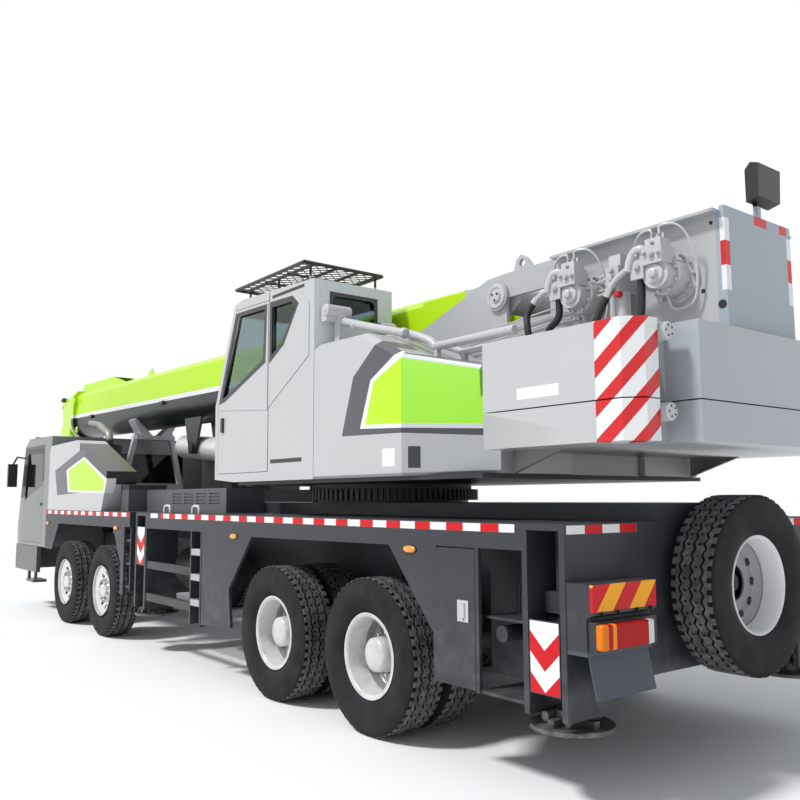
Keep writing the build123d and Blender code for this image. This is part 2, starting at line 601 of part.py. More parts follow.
STEP_Y = CARRIER_CAB_HALF - 200.0
bumper_rear = rail_front
bumper_y = (-CARRIER_CAB_HALF, CARRIER_CAB_HALF)
bumper = block(bumper_rear, CARRIER_CAB_FRONT + 60, *bumper_y, 560, CARRIER_CAB_LOW - 5)
apron = block(8560, bumper_rear, CARRIER_CAB_HALF - 60, CARRIER_CAB_HALF, 560, CARRIER_CAB_LOW - 5)
step_rear, step_front = CARRIER_CAB_FRONT - 1020, CARRIER_CAB_FRONT - 620
apron = apron + block(step_rear, step_front, STEP_Y, CARRIER_CAB_HALF, 400, 440)
for x in (step_rear, step_front - 40):
    apron = apron + block(x, x + 40, CARRIER_CAB_HALF - 60, CARRIER_CAB_HALF - 20, 400, 600)
bumper = bumper + both(apron)
for side in (-1, 1):
    slot_y = (side * (CARRIER_CAB_HALF - 110), side * (CARRIER_CAB_HALF - 440))
    bumper = bumper - block(CARRIER_CAB_FRONT + 35, CARRIER_CAB_FRONT + 70, *slot_y, 700, 860)
tow_pin = rod_z(CARRIER_CAB_FRONT + 90, 0, 600, 900, 25)
towing = block(CARRIER_CAB_FRONT + 55, CARRIER_CAB_FRONT + 130, -70, 70, 690, 730)
towing = towing + block(CARRIER_CAB_FRONT + 55, CARRIER_CAB_FRONT + 130, -70, 70, 790, 830)
save(bumper + towing - tow_pin, "front_bumper")

# ---------------------------------------------------------------- engine, cowls, exhaust
engine = block(6250, 7650, 40 - RAIL_Y, RAIL_Y - 40, 760, 1700)
for x in (6450, 7350):
    engine = engine + block(x - 60, x + 60, RUN - RAIL_Y, RAIL_Y - RUN, 900, 980)
save(engine, "engine_block")

COWL_IN = 1000.0
cowl_low = [(5620, DECK_Z), (7930, DECK_Z), (7930, 2360)]
cowl_side = [*cowl_low, (7850, 2420), (6680, 2440), (5455, 1990), (5455, 1860)]
cowl_in = [(5720, DECK_Z - 10), (7890, DECK_Z - 10), (7890, 2320), (6690, 2390), (5520, 1960)]
cowl = plate_y(cowl_side, COWL_IN, SIDE - 5) - plate_y(cowl_in, COWL_IN - 10, SIDE - 35)
save(both(cowl), "side_cowls")

silencer = rod_z(SILENCER_X, SILENCER_Y, DECK_Z, 2420, SILENCER_R)
tail_pipe = [(0, 0, 2400), (0, 0, 2560), (480, 0, 2740), (860, 0, 2790)]
tail_pipe = [(SILENCER_X + dx, SILENCER_Y + dy, z) for dx, dy, z in tail_pipe]
save(silencer + bent_bar(tail_pipe, 50, 3.0), "exhaust")

# ---------------------------------------------------------------- boom rest, steps, tank
leg_outline = [(445, RAIL_TOP), (515, RAIL_TOP), (490, 1800), (300, 2640), (230, 2640), (420, 1800)]
leg = plate_x(leg_outline, REST_X - 40, REST_X + 40)
rest = both(leg) + block(REST_X - 40, REST_X + 40, -RAIL_Y, RAIL_Y, 1800, 1870)
rest = rest + block(REST_X - 110, REST_X + 110, -300, 300, 2540, 2600)
horn = plate_x([(60, 2600), (320, 2850), (350, 2830), (200, 2560), (60, 2560)], REST_X - 130, REST_X + 130)
save(rest + both(horn), "boom_rest")

STEP_REAR, STEP_FRONT = 2672.0, 2930.0
steps = joined(block(STEP_REAR + 20, STEP_FRONT - 20, SIDE - 120, SIDE, z, z + 60) for z in (620, 860, 1100))
for x in (STEP_REAR, STEP_FRONT - 28):
    steps = steps + block(x, x + 28, SIDE - 120, SIDE, 440, BAND_LOW)
for z in (560, 900):
    steps = steps + block(STEP_FRONT, deck_front, SIDE - 60, SIDE - 10, z, z + 80)
tank = rod_x(3020, 3900, 900, 900, 230)
hanger = block(3400, 3440, BOX_HALF + RUN, 900, 860, 940)
save(both(steps + tank + hanger), "side_ladders")

# ---------------------------------------------------------------- tool-box doors, rear lamps
tool_door = block(TOOL_REAR, TOOL_HINGE_X - RUN / 2, SIDE - PLATE, SIDE, SKIRT_LOW + 10, DOOR_TOP - 10)
save(tool_door, "tool_door_left")
save(flip(tool_door), "tool_door_right")

LAMP_Z0, LAMP_Z1, LAMP_TOP = 850.0, 1000.0, 1190.0
lamp_side = [
    (frame_rear - RUN, 820),
    (frame_rear - RUN, LAMP_TOP),
    (LAMP_X, LAMP_TOP),
    (LAMP_X, LAMP_Z1 + 35),
    (LAMP_X + 45, LAMP_Z1 + 15),
    (LAMP_X + 45, 820),
]
lamp_in = SIDE - 545
lamps = plate_y(lamp_side, lamp_in, SIDE - 5)
lamps = lamps + block(LAMP_X - 12, LAMP_X + 46, lamp_in + 20, SIDE - 15, LAMP_Z0, LAMP_Z1)
flap_outline = [(LAMP_X + 60, 821), (LAMP_X + 68, 821), (LAMP_X + 18, 600), (LAMP_X + 10, 600)]
save(both(lamps + plate_y(flap_outline, lamp_in + 10, SIDE - 35)), "rear_lamps")

# ---------------------------------------------------------------- superstructure
platform = [(2700, -500), (2700, 500), (2300, 1200), (-1050, 1200), (-1050, -1200), (2300, -1200)]
turntable = rod_z(SLEW_X, 0, RING_Z1, UPPER_Z - 1, RING_R - 40)
save(turntable + plate_z(platform, RING_Z1 + 5, UPPER_Z), "turntable")

side_outline = [
    (2150, UPPER_Z),
    (2150, 1950),
    (1750, 2150),
    (1350, 2700),
    (630, 3040),
    (-160, 3300),
    (-280, 3340),
    (-520, 3350),
    (TAIL_X + 30, TAIL_TOP),
    (TAIL_X + 30, CW_Z1 + RUN),
    (CW_FRONT + 60, CW_Z1 + RUN),
    (CW_FRONT + 60, UPPER_Z),
]
PLATE_IN = PLATE_Y - PLATE_T
side_plate = plate_y(side_outline, PLATE_IN, PLATE_Y)
side_plate = side_plate - block(-920, -480, PLATE_IN - 5, PLATE_Y + 5, 2960, 3160)
side_plate = side_plate + block(TAIL_X + 30, -990, PLATE_Y - 5, PLATE_Y + 75, TAIL_TOP - 18, TAIL_TOP)
ear = plate_y([(-560, 3340), (-590, 3430), (-640, 3460), (-690, 3430), (-760, 3340)], PLATE_IN, PLATE_Y)
side_plate = side_plate + ear - rod_y(-650, PLATE_IN - 5, PLATE_Y + 5, 3395, 30)
side_plate = side_plate + rod_y(PIVOT_X, PLATE_Y, PLATE_Y + 30, PIVOT_Z, 110)
body = both(side_plate) + block(TAIL_X, TAIL_X + 30, -PLATE_Y, PLATE_Y, CW_Z1 + RUN, TAIL_TOP + 25)
body = body + block(TAIL_X + 30, CW_FRONT + 60, -PLATE_IN, PLATE_IN, CW_Z1 + RUN, CW_Z1 + 30)
body = body + block(CW_FRONT + 60, CW_FRONT + 90, -PLATE_IN, PLATE_IN, UPPER_Z, CW_Z1 + 30)
body = body + rod_y(PIVOT_X, -PLATE_Y, PLATE_Y, PIVOT_Z, PIVOT_R)
body = body + rod_y(LUFF_X, -PLATE_Y, PLATE_Y, LUFF_Z, 60)
body = body + block(TAIL_X + 10, TAIL_X + 40, -60, -20, TAIL_TOP, TAIL_TOP + 150)
mirror_outline = [(-2262, 3470), (-2345, 3490), (-2355, 3700), (-2300, 3720), (-2262, 3680)]
body = body + plate_y(mirror_outline, -200, 60)
save(body, "side_frames")

# Winches: a drum between the side plates, and its drive on the left plate.
winches = []
drum_half = PLATE_IN - RUN
for x in (FRONT_WINCH_X, REAR_WINCH_X):
    winches.append(rod_y(x, -drum_half, drum_half, WINCH_Z, 60))
    winches.append(rod_y(x, -drum_half + 60, drum_half - 60, WINCH_Z, 165))
    for end in (-1, 1):
        winches.append(rod_y(x, end * (drum_half - 20), end * (drum_half - 45), WINCH_Z, 240))
drums = joined(winches)
DRIVE_Y = PLATE_Y + RUN
drives = []
for x in (FRONT_WINCH_X, REAR_WINCH_X):
    drive = rod_y(x, DRIVE_Y, DRIVE_Y + 26, WINCH_Z, 165)
    drive = drive + rod_y(x, DRIVE_Y + 20, DRIVE_Y + 130, WINCH_Z, 118)
    drive = drive + rod_y(x, DRIVE_Y + 125, DRIVE_Y + 215, WINCH_Z, 88)
    drive = drive + block(x - 70, x + 70, DRIVE_Y + 120, DRIVE_Y + 250, WINCH_Z + 60, WINCH_Z + 170)
    drive = drive + block(x + 75, x + 170, DRIVE_Y + 140, DRIVE_Y + 230, WINCH_Z - 10, WINCH_Z + 110)
    for bolt in range(12):
        at = Vector(0, 145).rotate(Axis.Z, 30 * bolt)
        drive = drive + rod_y(x + at.X, DRIVE_Y + 20, DRIVE_Y + 44, WINCH_Z + at.Y, 13)
    drives.append(drive)
manifold = block(-1110, -900, DRIVE_Y, DRIVE_Y + 330, 2480, 2700)
tap = block(-1660, -1560, DRIVE_Y, DRIVE_Y + 180, WINCH_Z - 40, WINCH_Z + 130)
save(drums + joined(drives) + manifold + tap, "winches")


def hose(points, r):
    """Hose along straight runs joined by arcs as large as the runs allow."""
    spots = [Vector(*p) for p in points]
    runs = [b - a for a, b in zip(spots, spots[1:])]
    radii = [
        0.45 * min(a.length, b.length) / tan(radians(a.get_angle(b) / 2))
        for a, b in zip(runs, runs[1:])
    ]
    path = FilletPolyline(*points, radius=radii)
    return sweep((path ^ 0) * Circle(r), path=path)


HOSE_R = 24.0
hose_y = DRIVE_Y + 185
front_x, rear_x = FRONT_WINCH_X + 125, REAR_WINCH_X + 125
front_route = [(front_x, WINCH_Z - 10 - RUN), (front_x, 2850), (-1060, 2800), (-1060, 2700 + RUN)]
rear_route = [(rear_x, WINCH_Z - 10 - RUN), (rear_x, 2850), (-1820, 2730), (-1690, 2650), (-1110 - RUN, 2650)]
routes = [[(x, hose_y, z) for x, z in route] for route in (front_route, rear_route)]
save(joined(hose(route, HOSE_R) for route in routes), "winch_hoses")

bay_hoses = []
for k in range(3):
    x = bay[1] - 80 - 60 * k
    y = 1120 + 30 * k
    high = 1290 + 20 * k
    route = [(x, 945 + RUN), (x, 1100), (x - 40, 1200), (x - 100, high), (deck_rear, high)]
    bay_hoses.append(both(hose([(x, y, z) for x, z in route], 17)))
save(joined(bay_hoses), "bay_hoses")

# ---------------------------------------------------------------- operator's cab
KNEE_Z = 2550.0
op_side = [
    (CAB_REAR, UPPER_Z + RUN),
    (CAB_FRONT - 400, UPPER_Z + RUN),
    (CAB_FRONT, UPPER_Z + 30),
    (CAB_FRONT + 15, KNEE_Z),
    (2330, 3500),
    (2160, CAB_TOP),
    (CAB_REAR, CAB_TOP - 55),
]
op_in = [
    (CAB_REAR + CAB_WALL, UPPER_Z + 70),
    (CAB_FRONT - CAB_WALL, UPPER_Z + 90),
    (CAB_FRONT - 32, KNEE_Z - 5),
    (2290, 3450),
    (2140, CAB_TOP - 50),
    (CAB_REAR + CAB_WALL, CAB_TOP - 100),
]
OP_DOOR = [(1655, 1885), (2640, 1885), (2645, 2560), (2290, 3440), (1655, 3420)]
OP_WINDOW = [(1720, 2480), (2590, 2620), (2250, 3390), (1720, 3370)]
QUARTER = [(980, 2860), (1600, 2480), (1600, 3360), (1150, 3350), (980, 3250)]
FRAME_Y0, FRAME_Y1 = CAB_IN + 80, CAB_OUT - 80
LOW_PANE_Z0, UP_PANE_Z1 = 1950.0, 3400.0
BACK_Z0, BACK_Z1 = 2950.0, 3350.0
op = plate_y(op_side, CAB_IN, CAB_OUT) - plate_y(op_in, CAB_IN + CAB_WALL, CAB_OUT - CAB_WALL)
op_gap = clamped(grown(OP_DOOR, 5), OP_HINGE_X - RUN / 2, "above")
op = op - plate_y(op_gap, CAB_OUT - CAB_WALL - 10, CAB_OUT + 5)
for y in (CAB_OUT - CAB_WALL, CAB_IN):
    op = op - plate_y(QUARTER, y - 10, y + CAB_WALL + 10)
op = op - block(CAB_FRONT - 460, CAB_FRONT + 60, FRAME_Y0, FRAME_Y1, LOW_PANE_Z0, UP_PANE_Z1)
op = op - block(CAB_REAR - 5, CAB_REAR + CAB_WALL + 5, FRAME_Y0, FRAME_Y1, BACK_Z0, BACK_Z1)
# Guard rack of round bar over the roof.
BAR_R = 14.0
RACK_Z = CAB_TOP + 95
RACK_X, RACK_Y = (990.0, 2190.0), (510.0, 1190.0)
rack = joined(rod_x(RACK_X[0] - 20, RACK_X[1] + 20, y, RACK_Z, BAR_R) for y in (*RACK_Y, 730, 960))
for x in (*RACK_X, 1390, 1790):
    rack = rack + rod_y(x, RACK_Y[0] - 30, RACK_Y[1] + 30, RACK_Z, BAR_R - 3)
for x in (RACK_X[0] + 60, 1590, RACK_X[1] - 60):
    for y in RACK_Y:
        rack = rack + block(x - 8, x + 8, y - 8, y + 8, CAB_TOP - 45, RACK_Z)
op = op + rack
save(op, "operator_cab")

op_door = plate_y(OP_DOOR, CAB_OUT - CAB_WALL, CAB_OUT)
op_door = op_door - plate_y(OP_WINDOW, CAB_OUT - CAB_WALL - 5, CAB_OUT + 5)
op_door = op_door + plate_y(OP_WINDOW, CAB_OUT - 25, CAB_OUT - 25 + PANE)
op_door = op_door + block(2520, 2560, CAB_OUT - 1, CAB_OUT + 20, 2280, 2420)
save(op_door, "operator_door")

panes = slanted_pane(op_side[3:5], op_in[2:4], KNEE_Z + 12, UP_PANE_Z1, FRAME_Y0, FRAME_Y1)
low_x = CAB_FRONT - CAB_WALL / 2
pane_y = (FRAME_Y0 + RUN, FRAME_Y1 - RUN)
panes = panes + block(low_x, low_x + PANE, *pane_y, LOW_PANE_Z0 + RUN, KNEE_Z - 12)
back_x = CAB_REAR + CAB_WALL / 2
panes = panes + block(back_x, back_x + PANE, *pane_y, BACK_Z0 + RUN, BACK_Z1 - RUN)
inset = [(980.4, 2860.5), (1599.6, 2480.8), (1599.6, 3359.4), (1150.2, 3349.5), (980.4, 3249.6)]
for y in (CAB_OUT - 25, CAB_IN + 19):
    panes = panes + plate_y(inset, y, y + PANE)
save(panes, "operator_cab_glass")

# ---------------------------------------------------------------- machinery covers
cover_side = [
    (CAB_REAR - 8, UPPER_Z),
    (CAB_REAR - 8, 2880),
    (-299, 2650),
    (-880, 2390),
    (-1090, 2340),
    (-1090, UPPER_Z),
]
cover = plate_y(cover_side, PLATE_Y + 25, CAB_OUT)
upper_edges = cover.edges().filter_by(lambda e: e.center().Y > CAB_OUT - 1 and e.center().Z > 2360)
cover = chamfer(upper_edges, 35)
TUBES = ((950, 2695, 32, -285), (850, 2645, 26, -470))  # y, z, radius, front end
tubes = joined(rod_x(CW_FRONT + RUN, front, y, z, r) for y, z, r, front in TUBES)
cover = cover + tubes
for y, z, r, front in TUBES:
    cover = cover + block(front - 60, front - 20, y - 20, y + 20, z - 300, z)
save(cover + flip(cover), "machinery_covers")

# ---------------------------------------------------------------- counterweight
NOTCH = 90.0
NOTCH_Y = 1045.0
PIN_Z = (2100, 2540)  # retaining pins in the notches
cw_plan = [
    (CW_FRONT, CW_HALF),
    (CW_REAR + 90, CW_HALF),
    (CW_REAR, CW_HALF - 90),
    (CW_REAR, NOTCH_Y),
    (CW_REAR + NOTCH, NOTCH_Y),
    (CW_REAR + NOTCH, CW_CENTRE),
    (CW_BLOCK_REAR, CW_CENTRE),
]
cw_plan = cw_plan + [(x, -y) for x, y in reversed(cw_plan)]
weight = plate_z(cw_plan, CW_Z0, CW_SEAM - 4) + plate_z(cw_plan, CW_SEAM + 4, CW_Z1)
weight = weight + block(CW_REAR + 150, CW_FRONT - 20, -CW_CENTRE, CW_CENTRE, CW_SEAM - 10, CW_SEAM + 10)
for z in PIN_Z:
    weight = weight + both(rod_x(CW_REAR + NOTCH + 5, CW_REAR - 25, NOTCH_Y - 57, z, 52))
brace = plate_y([(CW_FRONT, CW_Z0), (CW_FRONT - 420, CW_Z0), (CW_FRONT, CW_Z0 - 141)], 960, 990)
save(weight + both(brace), "counterweight")


# ---------------------------------------------------------------- boom
def tilted(shape):
    """Level boom piece turned nose-up about the boom's pivot."""
    return Pos(PIVOT_X, 0, PIVOT_Z) * Rot(0, -BOOM_TILT, 0) * Pos(-PIVOT_X, 0, -PIVOT_Z) * shape


def section(x0, x1, w, h):
    """Boom tube filled in: flat top with bevels, straight sides, half-round belly."""
    r = w / 2
    top = BOOM_MID + h / 2
    belly = BOOM_MID - h / 2 + r
    bevel = 0.12 * w
    left = [(-r, belly), (-r, top - bevel), (bevel - r, top)]
    sides_and_top = left + [(-y, z) for y, z in reversed(left)]
    outline = [Line((x0, *a), (x0, *b)) for a, b in zip(sides_and_top, sides_and_top[1:])]
    outline.append(ThreePointArc((x0, r, belly), (x0, 0, belly - r), (x0, -r, belly)))
    return extrude(make_face(outline), amount=x1 - x0, dir=(1, 0, 0))


def tube(x0, x1, k, wall):
    """Hollow boom section, k steps down in size."""
    w, h = BOOM_W - k * BOOM_STEP, BOOM_H - k * BOOM_STEP
    return section(x0, x1, w, h) - section(x0 - 1, x1 + 1, w - 2 * wall, h - 2 * wall)


def collar(x0, k):
    """Ring at a section's mouth; it guides the next section."""
    w, h = BOOM_W - k * BOOM_STEP, BOOM_H - k * BOOM_STEP
    ring_outside = section(x0, x0 + COLLAR_T, w + 2 * COLLAR_RISE, h + 2 * COLLAR_RISE)
    fit = 2 * RUN - BOOM_STEP
    return ring_outside - section(x0 - 1, x0 + COLLAR_T + 1, w + fit, h + fit)


BOOM_REAR = 150.0
BOOM_TOP = BOOM_MID + BOOM_H / 2
base = tube(BOOM_REAR, BOOM_FRONT, 0, BOOM_WALL) + collar(BOOM_FRONT, 0)
foot = [
    (BOOM_REAR, BOOM_MID - 200),
    (450, BOOM_MID - 380),
    (600, BOOM_MID - 300),
    (600, BOOM_MID + 350),
    (BOOM_REAR, BOOM_MID + 350),
    (-380, PIVOT_Z + 150),
    (-540, PIVOT_Z + 60),
    (-550, PIVOT_Z - 60),
    (-430, PIVOT_Z - 150),
]
cheek_out = BOOM_W / 2 + CHEEK_T
base = base + both(plate_y(foot, BOOM_W / 2, cheek_out))
base = base + rod_y(PIVOT_X, -cheek_out, cheek_out, PIVOT_Z, PIVOT_R + 45)
base = base - rod_y(PIVOT_X, -BOOM_W, BOOM_W, PIVOT_Z, PIVOT_R + 0.1)
# Lugs for the luffing cylinder, on both sides of its barrel.
lug = [(LUG_X - 260, BOOM_MID - 330), (LUG_X - 90, LUG_Z - 80)]
lug = lug + [(2 * LUG_X - x, z) for x, z in reversed(lug)]
lug_in = CYL_R + 12.0
hollow = section(0, BOOM_FRONT, BOOM_W - 2 * BOOM_WALL, BOOM_H - 2 * BOOM_WALL)
lugs = plate_y(lug, lug_in, lug_in + 35) + rod_y(LUG_X, lug_in + 35, lug_in + 60, LUG_Z, 68)
base = base + both(lugs - hollow)
# Clamps along the sides, and the raised guard over the rope near the head.
for x in (6420, 9500):
    base = base + both(block(x - 60, x + 60, BOOM_W / 2 - 5, BOOM_W / 2 + 32, BOOM_TOP - 500, BOOM_TOP - 430))
guard = [(8200, 0), (8900, 165), (10470, 165), (10500, 0)]
guard = [(x, BOOM_TOP + rise - 2) for x, rise in guard]
base = base + both(plate_y(guard, 150, 162)) + block(8890, 10470, -162, 162, BOOM_TOP + 155, BOOM_TOP + 163)
fin = [(7050, BOOM_TOP - 2), (7100, BOOM_TOP + 95), (7150, BOOM_TOP + 95), (7320, BOOM_TOP - 2)]
base = base + both(plate_y(fin, 190, 204))
save(tilted(base), "boom_base")

HEAD_LONG = 500.0
HEAD_CHEEK = 30.0
JIB_PIN_R = 35.0
for k in (1, 2, 3):
    mouth = BOOM_FRONT + COLLAR_T + k * 130
    inner = tube(600 + 150 * k, mouth, k, 10)
    if k < 3:
        save(tilted(inner + collar(mouth - COLLAR_T, k)), f"boom_section_{k + 1}")
head_w, head_h = BOOM_W - 3 * BOOM_STEP, BOOM_H - 3 * BOOM_STEP
cheek = [
    (mouth - 60, BOOM_MID + 320),
    (mouth + 330, BOOM_MID + 380),
    (mouth + HEAD_LONG, BOOM_MID + 250),
    (mouth + 380, BOOM_MID - 60),
    (mouth + HEAD_LONG, BOOM_MID - 250),
    (mouth + 400, BOOM_MID - 400),
    (mouth - 60, BOOM_MID - 320),
]
cheeks = both(plate_y(cheek, head_w / 2, head_w / 2 + HEAD_CHEEK))
head = inner + section(mouth - 60, mouth, head_w + 60, head_h + 60) + cheeks
axle_half = head_w / 2 + HEAD_CHEEK
for dx, dz, r in ((250, 210, 140), (330, -235, 175)):
    head = head + rod_y(mouth + dx, -axle_half, axle_half, BOOM_MID + dz, 45)
    for lane in (-120, 0, 120):
        sheave = rod_y(mouth + dx, lane - 28, lane + 28, BOOM_MID + dz, r)
        groove = rod_y(mouth + dx, lane - 12, lane + 12, BOOM_MID + dz, r + 1)
        groove = groove - rod_y(mouth + dx, lane - 13, lane + 13, BOOM_MID + dz, r - 22)
        head = head + sheave - groove
head = head - rod_y(mouth + HEAD_LONG - 70, -BOOM_W, BOOM_W, BOOM_MID + 215, JIB_PIN_R)
save(tilted(head), "boom_section_4")

# ---------------------------------------------------------------- luffing cylinder
lug_at = (tilted(Pos(LUG_X, 0, LUG_Z))).position
reach = hypot(lug_at.X - LUFF_X, lug_at.Z - LUFF_Z)
slope = degrees(atan2(lug_at.Z - LUFF_Z, lug_at.X - LUFF_X))
DOME_PAST = 760.0  # barrel's end beyond its pin on the boom


def along_cylinder(shape):
    """Piece drawn along +X from the luffing cylinder's foot pin."""
    return Pos(LUFF_X, 0, LUFF_Z) * Rot(0, -slope, 0) * shape


barrel = rod_x(650, reach + DOME_PAST - 90, 0, 0, CYL_R)
on_end = (Align.CENTER, Align.CENTER, Align.MIN)
dome = Pos(reach + DOME_PAST - 90, 0, 0) * Rot(0, 90, 0) * Cone(CYL_R, CYL_R - 70, 90, align=on_end)
barrel = barrel + dome + rod_y(reach, RUN - lug_in, lug_in - RUN, 0, 78)
barrel = barrel - rod_x(600, reach + DOME_PAST - 120, 0, 0, CYL_BORE)
save(along_cylinder(barrel), "luffing_barrel")
rod = rod_x(90, reach + 400, 0, 0, CYL_ROD_R) + rod_y(0, -110, 110, 0, 115)
rod = rod - rod_y(0, -200, 200, 0, 60.1)
save(along_cylinder(rod), "luffing_rod")
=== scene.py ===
# %% [markdown]
# # Dressing a four-axle truck crane
# The construction model gives every plate, wheel and joint of a truck crane at its real size.
# This lesson puts the looks on it: paint, tape and stripes, treaded tyres, glass, lamps,
# pipes and hoses. Each cell does one thing, and most print what they made.

from math import cos, pi, radians, sin

import bmesh
import bpy
import numpy as np
from mathutils import Matrix, Vector


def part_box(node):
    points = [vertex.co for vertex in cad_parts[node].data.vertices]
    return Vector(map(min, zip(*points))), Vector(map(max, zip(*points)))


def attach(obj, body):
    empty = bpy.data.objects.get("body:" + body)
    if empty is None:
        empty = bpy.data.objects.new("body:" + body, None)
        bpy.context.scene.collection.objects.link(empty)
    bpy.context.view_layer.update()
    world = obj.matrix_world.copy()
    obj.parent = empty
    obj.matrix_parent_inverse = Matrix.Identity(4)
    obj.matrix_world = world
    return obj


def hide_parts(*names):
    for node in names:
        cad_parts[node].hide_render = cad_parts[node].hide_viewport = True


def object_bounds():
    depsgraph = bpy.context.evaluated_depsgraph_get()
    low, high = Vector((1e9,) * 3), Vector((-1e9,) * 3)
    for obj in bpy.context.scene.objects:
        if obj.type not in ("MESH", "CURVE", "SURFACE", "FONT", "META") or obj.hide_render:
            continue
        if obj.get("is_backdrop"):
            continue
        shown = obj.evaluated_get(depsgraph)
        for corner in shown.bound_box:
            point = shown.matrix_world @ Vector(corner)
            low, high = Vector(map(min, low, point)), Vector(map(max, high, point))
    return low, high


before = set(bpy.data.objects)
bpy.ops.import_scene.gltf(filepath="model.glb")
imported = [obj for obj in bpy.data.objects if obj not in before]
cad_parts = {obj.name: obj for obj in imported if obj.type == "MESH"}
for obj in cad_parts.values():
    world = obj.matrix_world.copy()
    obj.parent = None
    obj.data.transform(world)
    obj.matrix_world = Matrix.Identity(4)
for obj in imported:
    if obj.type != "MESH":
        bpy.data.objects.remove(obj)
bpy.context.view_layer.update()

# %% [markdown]
# The crane's lengths are easiest to think of from its rearmost axle, so one small helper
# turns "metres ahead of the rearmost axle" into the shared frame. Sizes that a piece must
# fit come from the boxes of the construction nodes.

# %% Places on the crane
def middle(node):
    """Centre of a node's box."""
    low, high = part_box(node)
    return (low + high) / 2


REAR_AXLE = middle("twin_wheel_4_left").x


def ahead(x):
    """Shared X of a place x metres ahead of the rearmost axle."""
    return REAR_AXLE + x


SKIN = 0.002  # how deep a mask reaches that takes only the outermost face
GAP = 0.0003  # keeps a laid-on plate clear of the face below it
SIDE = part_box("carrier_deck")[1].y  # half width over the skirts
WEIGHT_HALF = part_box("counterweight")[1].y
UPPER_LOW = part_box("machinery_covers")[0].z
print("rearmost axle at", round(REAR_AXLE, 3), "skirts at", round(SIDE, 3))

# %% [markdown]
# ## Camera
# The camera stands low, behind the crane's left rear corner, and looks forward along it. A
# camera's own axes are right, up and back, so three unit vectors from its yaw, pitch and
# roll make its rotation.

# %% Camera
eye = Vector((ahead(-4.951), 4.882, 1.641))
yaw, pitch, roll = radians(37.775), radians(6.548), radians(-0.218)
forward = Vector((cos(pitch) * cos(yaw), -cos(pitch) * sin(yaw), sin(pitch)))
level = Vector((-sin(yaw), -cos(yaw), 0.0))
upward = level.cross(forward)
right = level * cos(roll) + upward * sin(roll)
turned_up = right.cross(forward)
camera = bpy.data.objects.new("camera", bpy.data.cameras.new("camera"))
camera.data.lens, camera.data.sensor_width = 37.89, 36.0
camera.data.shift_y = 0.0024
camera.data.clip_end = 500
axes = Matrix((right, turned_up, -forward)).transposed()
camera.matrix_world = Matrix.Translation(eye) @ axes.to_4x4()
bpy.context.scene.collection.objects.link(camera)
bpy.context.scene.camera = camera
bpy.context.scene.view_settings.view_transform = "Standard"
print("camera at", [round(v, 2) for v in eye])

# %% [markdown]
# ## Node trees in few words
# Every finish here is a tree of shader nodes. This small class keeps one tree and gives
# short names to the nodes that paint needs: arithmetic, masks over Object coordinates,
# noise, and one colour laid over another. Object coordinates are the crane's own frame in metres,
# so a stripe is simply a range of x, y or z.

